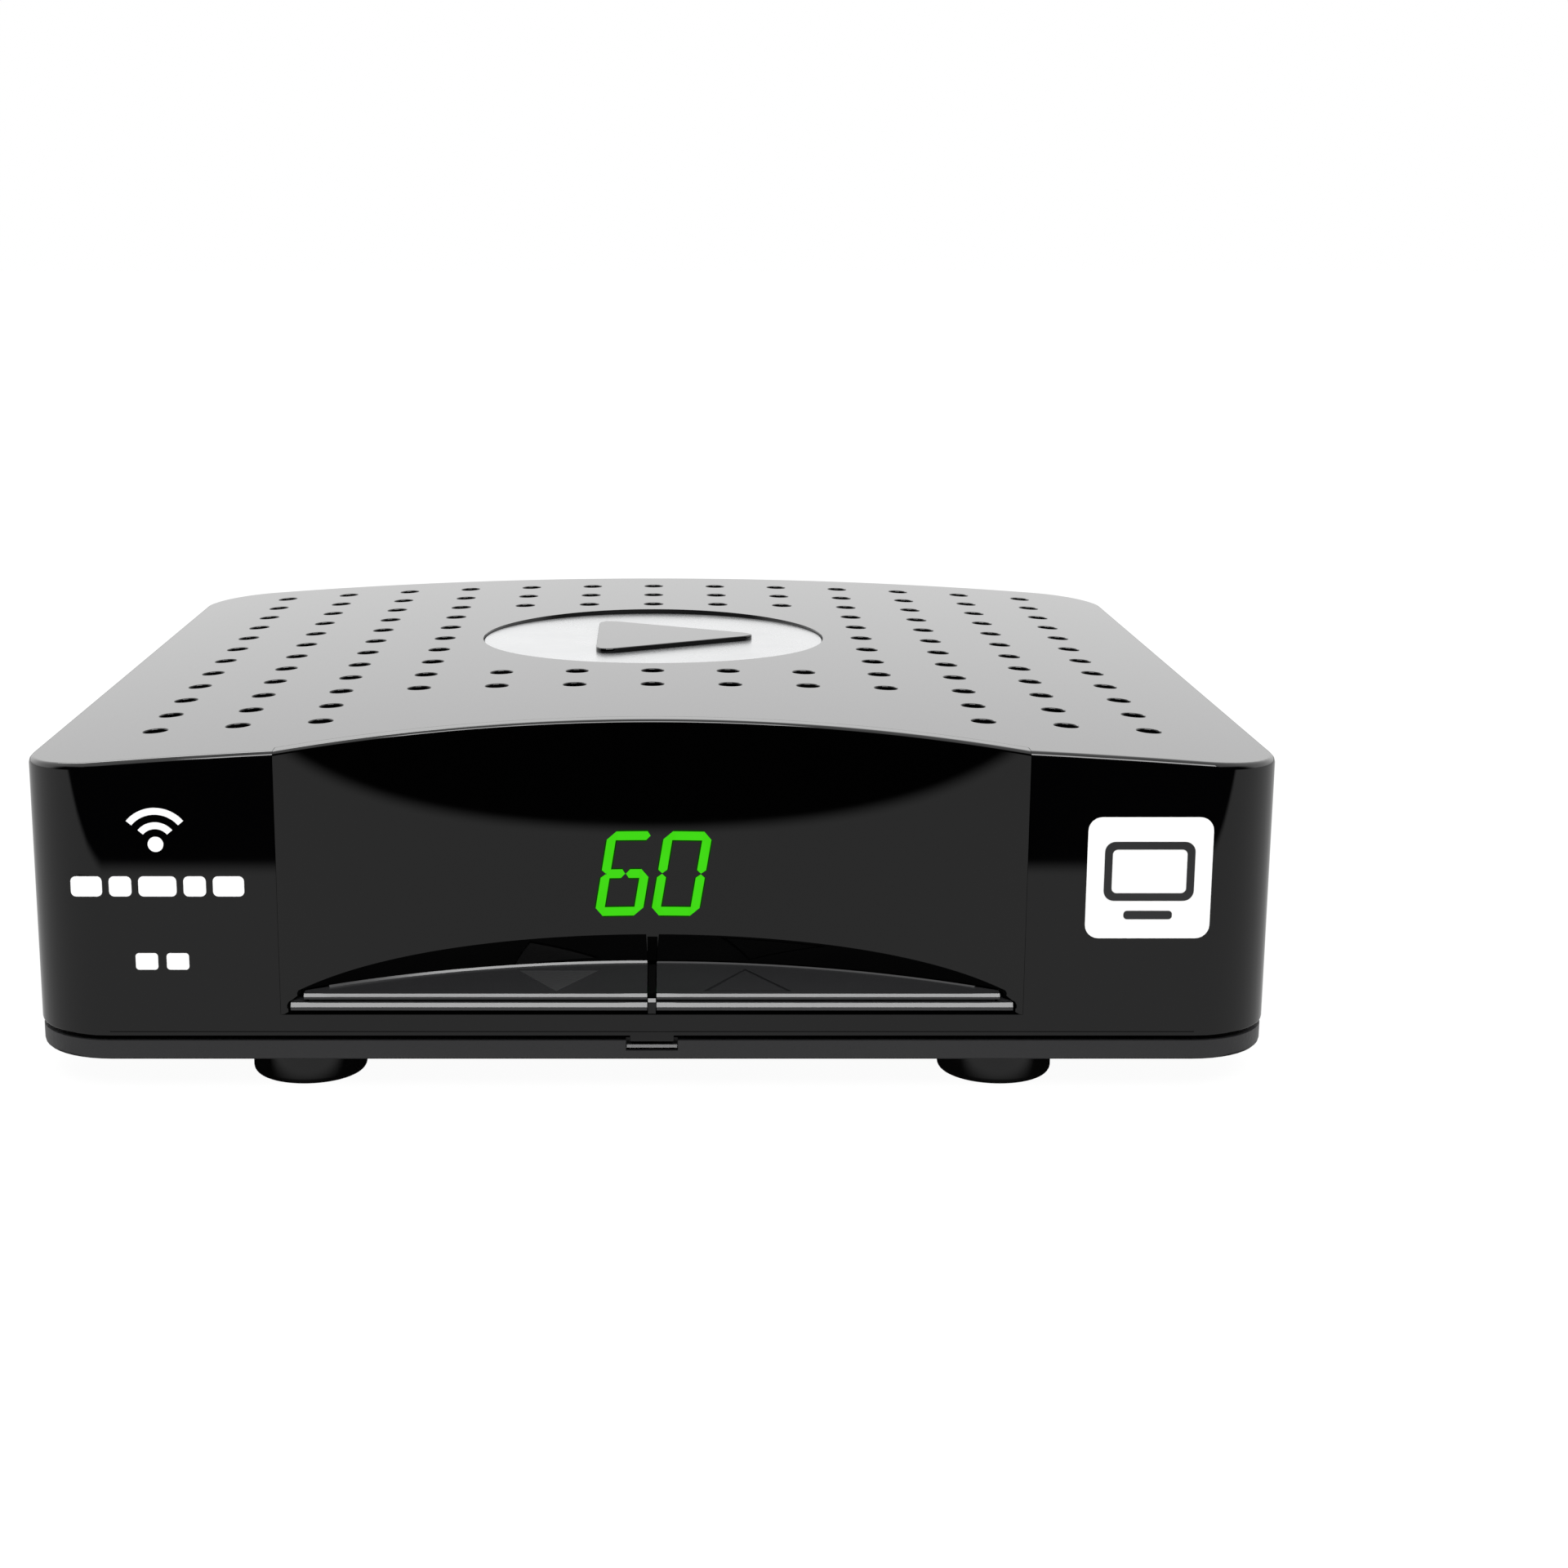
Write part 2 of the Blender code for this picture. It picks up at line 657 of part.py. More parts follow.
def make_tray():
    """The base tray: floor, low outer wall, the lip inside the cover, and the standoffs."""
    floor_top = TRAY_BOTTOM + TRAY_FLOOR
    lip_inset = WALL + GAP
    tray = outline_prism(
        "base_tray", plan_outline(TRAY_INSET), TRAY_BOTTOM, TRAY_RIM, BLACK_SATIN
    )
    lip = outline_prism("tray_lip", plan_outline(lip_inset), TRAY_BOTTOM + GAP, LIP_TOP)
    hollow = outline_prism(
        "tray_hollow", plan_outline(lip_inset + LIP_THICKNESS), floor_top, APEX
    )
    join(tray, lip)
    cut(tray, hollow)
    standoff_top = BOARD_BOTTOM - GAP
    join(
        tray,
        rods("tray_standoffs", standoff_places(), STANDOFF_RADIUS, TRAY_BOTTOM + GAP, standoff_top),
    )
    panel_half = PANEL_WIDTH / 2 + GAP
    panel_slot = box(
        "tray_panel_slot",
        (-panel_half, PANEL_FRONT - LIP_THICKNESS, floor_top),
        (panel_half, PANEL_REAR + GAP, APEX),
    )
    notch_half = TAB_HALF + NOTCH_MARGIN
    notch = box(
        "tray_notch",
        (-notch_half, FRONT - WALL, COVER_BOTTOM - TAB_DROP - NOTCH_MARGIN),
        (notch_half, FRONT + WALL / 2 + GAP, LIP_TOP + WALL),
    )
    recesses = rods(
        "tray_foot_recesses",
        foot_places().values(),
        FOOT_RADIUS + GAP,
        0,
        TRAY_BOTTOM + FOOT_RECESS,
    )
    head_top = TRAY_BOTTOM + CASE_HEAD_SINK + CASE_HEAD_HEIGHT + GAP
    heads = rods("tray_screw_heads", boss_places(), CASE_HEAD_RADIUS + GAP, 0, head_top)
    holes = rods(
        "tray_screw_holes",
        boss_places(),
        CASE_SHANK_RADIUS + GAP,
        0,
        BOARD_BOTTOM,
        sides=SMALL_SIDES,
    )
    pilots = rods(
        "tray_pilots",
        standoff_places(),
        BOARD_SHANK_RADIUS + GAP,
        BOARD_TOP - BOARD_SHANK_LENGTH,
        BOARD_TOP,
        sides=SMALL_SIDES,
    )
    cut(tray, panel_slot, notch, recesses, heads, holes, pilots)


def make_feet():
    """Four rubber feet, with a rounded lower edge, set in recesses under the tray."""
    top = TRAY_BOTTOM + FOOT_RECESS - GAP
    profile = (
        (0, top),
        (FOOT_RADIUS, top),
        (FOOT_RADIUS, FOOT_EDGE),
        (FOOT_RADIUS - FOOT_EDGE / 3, FOOT_EDGE / 3),
        (FOOT_RADIUS - FOOT_EDGE, 0),
        (0, 0),
    )
    for name, (x, y) in foot_places().items():
        turned(name, profile, (x, y, 0), ROUND_SIDES, RUBBER)


def screw_profile(head_radius, head_height, shank_radius, shank_length):
    """A screw with its head up at height 0 and its shank down from there."""
    return (
        (0, head_height),
        (head_radius * HEAD_FLAT, head_height),
        (head_radius, head_height * HEAD_SHOULDER),
        (head_radius, 0),
        (shank_radius, 0),
        (shank_radius, -shank_length),
        (0, -shank_length),
    )


def make_screws():
    """The case screws from below into the cover, and the screws that hold the main board."""
    case = screw_profile(
        CASE_HEAD_RADIUS, CASE_HEAD_HEIGHT, CASE_SHANK_RADIUS, CASE_SHANK_LENGTH
    )
    seat = TRAY_BOTTOM + CASE_HEAD_SINK + CASE_HEAD_HEIGHT
    names = ("front_left", "rear_left", "front_right", "rear_right")
    for name, (x, y) in zip(names, boss_places()):
        place, over = (x, y, seat), (math.pi, 0, 0)
        turned("case_screw_" + name, case, place, SCREW_SIDES, STEEL, over)
    board = screw_profile(
        BOARD_HEAD_RADIUS, BOARD_HEAD_HEIGHT, BOARD_SHANK_RADIUS, BOARD_SHANK_LENGTH
    )
    for name, (x, y) in zip(names, standoff_places()):
        turned("board_screw_" + name, board, (x, y, PARTS_Z), SCREW_SIDES, STEEL)


# --- Boards --------------------------------------------------------------------------------


def make_main_board():
    board = box(
        "main_board",
        (-BOARD_WIDTH / 2, BOARD_FRONT, BOARD_BOTTOM),
        (BOARD_WIDTH / 2, BOARD_REAR, BOARD_TOP),
        BOARD_GREEN,
    )
    holes = rods(
        "board_holes",
        standoff_places(),
        BOARD_SHANK_RADIUS + GAP,
        BOARD_BOTTOM - BOARD_THICKNESS,
        BOARD_TOP + BOARD_THICKNESS,
        sides=SMALL_SIDES,
    )
    cut(board, holes)


def make_display_board():
    """The upright board behind the window, with the display and the remote receiver."""
    half = DISPLAY_BOARD_WIDTH / 2
    box(
        "display_board",
        (-half, DISPLAY_BOARD_FRONT, TRAY_BOTTOM + TRAY_FLOOR + GAP),
        (half, DISPLAY_BOARD_FRONT + DISPLAY_BOARD_THICKNESS, DISPLAY_BOARD_TOP),
        BOARD_GREEN,
    )
    seat = DISPLAY_BOARD_FRONT - GAP
    box(
        "led_display",
        (-LED_WIDTH / 2, seat - LED_DEPTH, LED_Z - LED_HEIGHT / 2),
        (LED_WIDTH / 2, seat, LED_Z + LED_HEIGHT / 2),
        GREY,
    )
    receiver = box(
        "remote_receiver",
        (RECEIVER_X - RECEIVER_RADIUS, seat - RECEIVER_DEPTH, LED_Z - RECEIVER_HEIGHT / 2),
        (RECEIVER_X + RECEIVER_RADIUS, seat, LED_Z + RECEIVER_HEIGHT / 2),
        BLACK_SATIN,
    )
    lens = rods(
        "receiver_lens",
        [(RECEIVER_X, LED_Z)],
        RECEIVER_LENS_RADIUS,
        seat - RECEIVER_DEPTH - RECEIVER_LENS_RADIUS / 2,
        seat - RECEIVER_DEPTH / 2,
        axis="Y",
        sides=SMALL_SIDES,
    )
    join(receiver, lens)


def make_ribbon():
    """The flat cable from the display board down to the main board."""
    start = DISPLAY_BOARD_FRONT + DISPLAY_BOARD_THICKNESS + GAP
    end = BOARD_FRONT + STANDOFF_FRONT_INSET
    high = LED_Z - LED_HEIGHT / 2
    low = PARTS_Z + RIBBON_THICKNESS / 2
    curve = bpy.data.curves.new("ribbon_cable", "CURVE")
    curve.dimensions = "2D"
    curve.fill_mode = "NONE"
    curve.extrude = RIBBON_WIDTH / 2
    spline = curve.splines.new("POLY")
    spline.points.add(ARC_STEPS)
    for step, point in enumerate(spline.points):
        along = step / ARC_STEPS
        fall = (1 + math.cos(math.pi * min(1.0, along / RIBBON_FALL))) / 2
        point.co = (start + (end - start) * along, low + (high - low) * fall, 0, 1)
    ribbon = bpy.data.objects.new("ribbon_cable", curve)
    PARTS.objects.link(ribbon)
    curve.materials.append(make_material("ribbon_cable", GREY))
    ribbon.matrix_world = Matrix(((0, 0, 1, 0), (1, 0, 0, 0), (0, 1, 0, 0), (0, 0, 0, 1)))
    thickness = ribbon.modifiers.new("thickness", "SOLIDIFY")
    thickness.thickness = RIBBON_THICKNESS
    thickness.offset = 0


def make_board_parts():
    """The processor with its heatsink, and the larger parts round it."""
    chip_x, chip_y = CHIP_PLACE[0], BOARD_FRONT + CHIP_PLACE[1]
    standing_box(
        "main_chip", chip_x, chip_y, (CHIP_SIZE, CHIP_SIZE, CHIP_HEIGHT), PARTS_Z, BLACK_SATIN
    )
    sink_z = PARTS_Z + CHIP_HEIGHT + GAP
    sink_size = (HEATSINK_SIZE, HEATSINK_SIZE, HEATSINK_HEIGHT)
    sink = standing_box("heatsink", chip_x, chip_y, sink_size, sink_z, ALUMINIUM)
    slot_width = (HEATSINK_SIZE - HEATSINK_FINS * FIN_THICKNESS) / (HEATSINK_FINS - 1)
    for slot in range(HEATSINK_FINS - 1):
        low_x = chip_x - HEATSINK_SIZE / 2 + FIN_THICKNESS + slot * (slot_width + FIN_THICKNESS)
        slot_box = box(
            f"heatsink_slot_{slot}",
            (low_x, chip_y - HEATSINK_SIZE, sink_z + HEATSINK_BASE),
            (low_x + slot_width, chip_y + HEATSINK_SIZE, sink_z + 2 * HEATSINK_HEIGHT),
        )
        cut(sink, slot_box)
    plain = {
        "memory_chip": (MEMORY_SIZE, MEMORY_PLACE, BLACK_SATIN),
        "crystal": (CRYSTAL_SIZE, CRYSTAL_PLACE, NICKEL),
    }
    for name, (size, (x, y), look) in plain.items():
        standing_box(name, x, BOARD_FRONT + y, size, PARTS_Z, look)
    inductor_x, ahead = INDUCTOR_PLACE
    standing_box("inductor", inductor_x, BOARD_REAR - ahead, INDUCTOR_SIZE, PARTS_Z, GREY)
    for name, (x, ahead, radius, height) in CAPACITORS.items():
        place = [(x, BOARD_REAR - ahead)]
        rods(name, place, radius, PARTS_Z, PARTS_Z + height, sides=SMALL_SIDES, look=GREY)


# --- Rear panel and sockets ----------------------------------------------------------------


def phono_places():
    middle = (len(PHONO_COLOURS) - 1) / 2
    return {
        colour: PHONO_X + (middle - index) * PHONO_PITCH
        for index, colour in enumerate(PHONO_COLOURS)
    }


def make_rear_panel():
    """The metal plate behind the cover's rear opening, with a hole for each socket."""
    panel = box(
        "rear_panel",
        (-PANEL_WIDTH / 2, PANEL_FRONT, TRAY_BOTTOM + TRAY_FLOOR + GAP),
        (PANEL_WIDTH / 2, PANEL_REAR, PANEL_TOP),
        STEEL,
    )
    before, after = PANEL_FRONT - WALL, PANEL_REAR + WALL
    aerial_holes = rods(
        "panel_aerial_holes",
        [(x, AERIAL_Z) for x in AERIAL_XS],
        AERIAL_RADIUS + HOLE_CLEARANCE,
        before,
        after,
        axis="Y",
    )
    phono_z = PARTS_Z + PHONO_HEIGHT / 2
    phono_holes = rods(
        "panel_phono_holes",
        [(x, phono_z) for x in phono_places().values()],
        PHONO_RADIUS + HOLE_CLEARANCE,
        before,
        after,
        axis="Y",
    )
    supply_z = PARTS_Z + SUPPLY_HEIGHT / 2
    supply_hole = rods(
        "panel_supply_hole",
        [(SUPPLY_X, supply_z)],
        SUPPLY_COLLAR_RADIUS + HOLE_CLEARANCE,
        before,
        after,
        axis="Y",
    )
    usb_half = USB_WIDTH / 2 + HOLE_CLEARANCE
    usb_hole = box(
        "panel_usb_hole",
        (USB_X - usb_half, before, PARTS_Z - HOLE_CLEARANCE),
        (USB_X + usb_half, after, PARTS_Z + USB_HEIGHT + HOLE_CLEARANCE),
    )
    rf_half = (RF_NIB + RF_TRAVEL) / 2 + HOLE_CLEARANCE
    rf_z = PARTS_Z + RF_HEIGHT / 2
    rf_hole = box(
        "panel_rf_slot",
        (RF_X - rf_half, before, rf_z - RF_NIB / 2 - HOLE_CLEARANCE),
        (RF_X + rf_half, after, rf_z + RF_NIB / 2 + HOLE_CLEARANCE),
    )
    cut(panel, aerial_holes, phono_holes, supply_hole, usb_hole, rf_hole)


def make_tuner():
    """The screened tuner, with the two aerial sockets on its rear face."""
    rear = PANEL_FRONT - TUNER_SETBACK
    x = sum(AERIAL_XS) / 2
    standing_box(
        "tuner_can",
        x,
        rear - TUNER_DEPTH / 2,
        (TUNER_WIDTH, TUNER_DEPTH, TUNER_HEIGHT),
        PARTS_Z,
        NICKEL,
    )
    start = rear + GAP
    length = SOCKET_END - start
    profile = (
        (0, length - AERIAL_BORE_DEPTH),
        (AERIAL_BORE_RADIUS, length - AERIAL_BORE_DEPTH),
        (AERIAL_BORE_RADIUS, length),
        (AERIAL_RADIUS, length),
        (AERIAL_RADIUS, AERIAL_COLLAR),
        (AERIAL_COLLAR_RADIUS, AERIAL_COLLAR),
        (AERIAL_COLLAR_RADIUS, 0),
        (0, 0),
    )
    names = ("aerial_output", "aerial_input")
    for name, socket_x in zip(names, AERIAL_XS):
        turned(
            name,
            profile,
            (socket_x, start, AERIAL_Z),
            ROUND_SIDES,
            NICKEL,
            rotation=(math.radians(-90), 0, 0),
        )


def make_phono_sockets():
    """Three phono sockets: a block on the board with a round barrel out of the rear panel."""
    z = PARTS_Z + PHONO_HEIGHT / 2
    rear = PANEL_FRONT - GAP
    for colour, x in phono_places().items():
        name = "phono_" + colour
        half = PHONO_BODY / 2
        body = box(
            name,
            (x - half, rear - PHONO_DEPTH, PARTS_Z),
            (x + half, rear, PARTS_Z + PHONO_HEIGHT),
            PHONO_COLOURS[colour],
        )
        barrel = rods(
            name + "_barrel", [(x, z)], PHONO_RADIUS, rear - PHONO_DEPTH / 2, SOCKET_END, axis="Y"
        )
        bore = rods(
            name + "_bore",
            [(x, z)],
            PHONO_BORE_RADIUS,
            SOCKET_END - PHONO_BORE_DEPTH,
            SOCKET_END + WALL,
            axis="Y",
            sides=SMALL_SIDES,
        )
        join(body, barrel)
        cut(body, bore)


def make_usb_socket():
    """A USB socket: a thin shell open to the rear, with its tongue inside."""
    mouth = BACK - GAP
    half = USB_WIDTH / 2
    top = PARTS_Z + USB_HEIGHT
    socket = box(
        "usb_socket", (USB_X - half, mouth - USB_DEPTH, PARTS_Z), (USB_X + half, mouth, top), NICKEL
    )
    back_wall = mouth - USB_DEPTH + 2 * USB_SHELL
    hollow = box(
        "usb_hollow",
        (USB_X - half + USB_SHELL, back_wall, PARTS_Z + USB_SHELL),
        (USB_X + half - USB_SHELL, mouth + WALL, top - USB_SHELL),
    )
    tongue_top = top - 2 * USB_SHELL
    tongue = box(
        "usb_tongue",
        (USB_X - USB_TONGUE_WIDTH / 2, back_wall - USB_SHELL, tongue_top - USB_TONGUE),
        (USB_X + USB_TONGUE_WIDTH / 2, mouth - 4 * USB_SHELL, tongue_top),
    )
    cut(socket, hollow)
    join(socket, tongue)


def make_rf_switch():
    """The output channel switch: a fixed body and the small nib that slides in it."""
    rear = PANEL_FRONT - GAP
    z = PARTS_Z + RF_HEIGHT / 2
    body = box(
        "rf_switch_body",
        (RF_X - RF_WIDTH / 2, rear - RF_DEPTH, PARTS_Z),
        (RF_X + RF_WIDTH / 2, rear, PARTS_Z + RF_HEIGHT),
        BLACK_SATIN,
    )
    half, slot_half = RF_NIB / 2, (RF_NIB + RF_TRAVEL) / 2 + GAP
    slot = box(
        "rf_switch_slot",
        (RF_X - slot_half, rear - RF_NIB_BURIED - GAP, z - half - GAP),
        (RF_X + slot_half, rear + WALL, z + half + GAP),
    )
    cut(body, slot)
    nib_x = RF_X - RF_TRAVEL / 2
    box(
        "rf_switch_slider",
        (nib_x - half, rear - RF_NIB_BURIED, z - half),
        (nib_x + half, BACK - GAP, z + half),
        WHITE,
    )


def make_supply_socket():
    """The power inlet: a block with a round collar, a bore and the pin in its middle."""
    z = PARTS_Z + SUPPLY_HEIGHT / 2
    rear = PANEL_FRONT - GAP
    mouth = BACK - GAP
    half = SUPPLY_WIDTH / 2
    socket = box(
        "supply_socket",
        (SUPPLY_X - half, rear - SUPPLY_DEPTH, PARTS_Z),
        (SUPPLY_X + half, rear, PARTS_Z + SUPPLY_HEIGHT),
        BLACK_SATIN,
    )
    place = [(SUPPLY_X, z)]
    collar = rods(
        "supply_collar", place, SUPPLY_COLLAR_RADIUS, rear - SUPPLY_DEPTH / 2, mouth, axis="Y"
    )
    bottom = mouth - SUPPLY_BORE_DEPTH
    bore = rods("supply_bore", place, SUPPLY_BORE_RADIUS, bottom, mouth + WALL, axis="Y")
    pin = rods(
        "supply_pin",
        place,
        SUPPLY_PIN_RADIUS,
        bottom - WALL / 2,
        mouth - WALL / 2,
        axis="Y",
        sides=SMALL_SIDES,
    )
    join(socket, collar)
    cut(socket, bore)
    join(socket, pin)


# --- The recorder --------------------------------------------------------------------------

clear_scene()
PARTS = make_collection("recorder")
CUTTERS = make_collection("cutters")

make_cover()
make_window()
make_emblem()
for key_name, key_side in (("channel_down", -1), ("channel_up", 1)):
    make_key(key_name + "_key", key_side)
    make_key_switch(key_name, key_side)
make_key_board()
make_tray()
make_feet()
make_screws()
make_main_board()
make_display_board()
make_ribbon()
make_board_parts()
make_rear_panel()
make_tuner()
make_phono_sockets()
make_usb_socket()
make_rf_switch()
make_supply_socket()
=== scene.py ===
# %% [markdown]
# # A small satellite set-top recorder
# The object is a low black box that stands under a television. Its cover is one moulding
# with a crowned, vented top. The middle of the front is scooped out and filled by a curved
# smoked window with two green digits, and two thin channel keys lie below it.
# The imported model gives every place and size. This script makes the fine surfaces around
# it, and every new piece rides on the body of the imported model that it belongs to.

# %% Load the frame
import math

import bmesh
import bpy
from mathutils import Matrix, Vector


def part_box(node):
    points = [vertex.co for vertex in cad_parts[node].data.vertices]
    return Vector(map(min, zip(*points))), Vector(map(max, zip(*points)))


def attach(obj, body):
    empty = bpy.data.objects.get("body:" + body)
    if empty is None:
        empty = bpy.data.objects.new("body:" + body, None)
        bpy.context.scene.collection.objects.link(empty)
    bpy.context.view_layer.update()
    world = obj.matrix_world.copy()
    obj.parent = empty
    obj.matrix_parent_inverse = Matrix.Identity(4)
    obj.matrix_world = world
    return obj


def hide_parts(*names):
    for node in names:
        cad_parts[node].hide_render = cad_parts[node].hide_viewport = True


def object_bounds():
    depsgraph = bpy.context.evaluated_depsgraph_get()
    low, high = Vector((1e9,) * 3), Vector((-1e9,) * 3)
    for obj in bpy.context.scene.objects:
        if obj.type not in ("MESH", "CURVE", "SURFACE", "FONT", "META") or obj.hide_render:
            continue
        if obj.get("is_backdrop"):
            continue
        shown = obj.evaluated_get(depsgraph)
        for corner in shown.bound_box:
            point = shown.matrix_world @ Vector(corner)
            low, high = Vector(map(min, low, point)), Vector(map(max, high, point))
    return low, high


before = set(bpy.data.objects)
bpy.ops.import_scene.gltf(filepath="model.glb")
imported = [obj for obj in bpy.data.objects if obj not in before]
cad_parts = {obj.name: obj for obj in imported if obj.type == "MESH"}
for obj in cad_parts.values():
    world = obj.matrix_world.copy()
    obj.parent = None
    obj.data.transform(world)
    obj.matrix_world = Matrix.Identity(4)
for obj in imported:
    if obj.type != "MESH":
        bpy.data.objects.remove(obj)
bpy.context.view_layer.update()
MM = 0.001

# %% [markdown]
# ## Where everything is
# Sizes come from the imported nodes, so that nothing has to be fitted by eye. The cover's
# box gives the width, the front, the back and the highest line of the crown. What a box
# can't say, such as the radius of the crown, is a named value here.

# %% Sizes of the case
COVER_LOW, COVER_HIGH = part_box("top_cover")
TRAY_LOW, TRAY_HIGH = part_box("base_tray")
WINDOW_LOW, WINDOW_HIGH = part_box("display_window")
KEY_LOW, KEY_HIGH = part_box("channel_down_key")
FRONT, BACK = COVER_LOW.y, COVER_HIGH.y
HALF_WIDTH = COVER_HIGH.x
APEX = COVER_HIGH.z
CROWN_RADIUS = 832 * MM
CORNER = 10 * MM
WALL = 2 * MM
COVER_EDGE = 6.95 * MM
SCOOP_HALF = WINDOW_HIGH.x
SCOOP_DEPTH = 13.2 * MM
SCOOP_RADIUS = (SCOOP_HALF**2 + SCOOP_DEPTH**2) / (2 * SCOOP_DEPTH)
SCOOP_AXIS = FRONT + SCOOP_DEPTH - SCOOP_RADIUS
print("case:", [round(v / MM, 1) for v in (2 * HALF_WIDTH, BACK - FRONT, APEX)], "mm")


def crown_at(x, drop=0.0):
    """Height of the crowned top at x, or of a surface that far below it."""
    return APEX - drop - x * x / (2 * CROWN_RADIUS)


def scoop_at(x):
    """The window's front surface at x."""
    return SCOOP_AXIS + math.sqrt(SCOOP_RADIUS**2 - x * x)


# %% [markdown]
# ## Camera
# The box is seen from the front and a little above, from about 30 cm, which gives its sides
# their strong taper. The camera has no turn and no roll. A small sideways shift puts the box
# left of the middle of the frame.

# %% Camera
camera_data = bpy.data.cameras.new("camera")
camera_data.sensor_width = 36.0
camera_data.lens = 56.97
camera_data.shift_x = 0.08
camera_data.clip_start = 0.01
camera_data.clip_end = 50.0
camera = bpy.data.objects.new("camera", camera_data)
bpy.context.scene.collection.objects.link(camera)
camera.location = (0.78 * MM, -348.7 * MM, 98.8 * MM)
camera.rotation_euler = (math.radians(77.445), 0.0, 0.0)
bpy.context.scene.camera = camera
print("camera:", tuple(round(v, 3) for v in camera.location))

# %% [markdown]
# ## Light
# Polished black plastic has almost no colour of its own: what shows is what it reflects. The
# top looks light grey because it mirrors the pale wall behind it at a shallow angle, and the
# front is dark because it mirrors the table in front. So the surroundings are the real
# material here. The world is a wall of soft white that is brightest low down, and black below
# the horizon, where only the floor may show. In front, where the onlooker stands, it is
# dark up to the lamps. A black-and-white world map could do the same, but a few nodes are
# easier to tune.

# %% Node helper
def add_node(tree, kind, **settings):
    """A node with its settings. Keys that are input names set those inputs."""
    node = tree.nodes.new(kind)
    for key, value in settings.items():
        if key in node.inputs:
            node.inputs[key].default_value = value
        else:
            setattr(node, key, value)
    return node


def link(tree, output, target):
    tree.links.new(output, target)


def set_ramp(node, stops):
    """Sets a colour ramp's stops from (position, grey) pairs."""
    elements = node.color_ramp.elements
    while len(elements) < len(stops):
        elements.new(0.5)
    for element, (position, grey) in zip(elements, stops):
        element.position = position
        element.color = (grey, grey, grey, 1.0)


# %% World
WALL_LIGHT = 1.5  # brightness that the ramp's 1.0 stands for
world = bpy.data.worlds.new("soft_surroundings")
bpy.context.scene.world = world
world.use_nodes = True
sky = world.node_tree
sky.nodes.clear()
direction = add_node(sky, "ShaderNodeTexCoord")
split = add_node(sky, "ShaderNodeSeparateXYZ")
by_height = add_node(sky, "ShaderNodeValToRGB")
set_ramp(by_height, [(0.0, 0.0), (0.005, 0.72), (0.12, 0.82), (0.21, 0.95), (0.45, 0.85), (1.0, 0.78)])
behind = add_node(sky, "ShaderNodeMapRange", interpolation_type="SMOOTHSTEP")
behind.inputs["From Min"].default_value = -0.35
behind.inputs["From Max"].default_value = 0.05
above = add_node(sky, "ShaderNodeMapRange", interpolation_type="SMOOTHSTEP")
above.inputs["From Min"].default_value = 0.45
above.inputs["From Max"].default_value = 0.7
open_sky = add_node(sky, "ShaderNodeMath", operation="MAXIMUM")
wall_strength = add_node(sky, "ShaderNodeMath", operation="MULTIPLY")
wall_strength.inputs[1].default_value = WALL_LIGHT
wall_light = add_node(sky, "ShaderNodeBackground")
link(sky, split.outputs["Y"], behind.inputs["Value"])
link(sky, split.outputs["Z"], above.inputs["Value"])
link(sky, behind.outputs["Result"], open_sky.inputs[0])
link(sky, above.outputs["Result"], open_sky.inputs[1])
link(sky, open_sky.outputs[0], wall_strength.inputs[0])
link(sky, wall_strength.outputs[0], wall_light.inputs["Strength"])
seen_light = add_node(sky, "ShaderNodeBackground", Color=(1.0, 1.0, 1.0, 1.0), Strength=1.0)
rays = add_node(sky, "ShaderNodeLightPath")
choose = add_node(sky, "ShaderNodeMixShader")
sky_out = add_node(sky, "ShaderNodeOutputWorld")
link(sky, direction.outputs["Generated"], split.inputs[0])
link(sky, split.outputs["Z"], by_height.inputs["Fac"])
link(sky, by_height.outputs["Color"], wall_light.inputs["Color"])
link(sky, rays.outputs["Is Camera Ray"], choose.inputs["Fac"])
link(sky, wall_light.outputs[0], choose.inputs[1])
link(sky, seen_light.outputs[0], choose.inputs[2])
link(sky, choose.outputs[0], sky_out.inputs["Surface"])
bpy.context.scene.view_settings.view_transform = "Standard"

# %% [markdown]
# ## Floor
# The floor is a large pale sheet. A mirror-like front shows exactly how far the light table
# reaches: past its edge the reflection falls to black, and that is the dark band across the
# upper front. So in reflections the sheet ends a hand's width in front of the box, and is
# dark in the box's own shadow, while to the eye it goes on.

# %% Floor
FLOOR_SIZE = 12.0
TABLE_EDGE = -178 * MM  # the table's front edge
TABLE_BLUR = 6 * MM
TABLE_LIGHT = 0.56
SHADE_START = 0 * MM  # the box's shadow, measured outwards from its sides
SHADE_END = 6 * MM
FLOOR_SHADE = 0.06  # how much of the floor's look is true shading, which keeps shadows faint

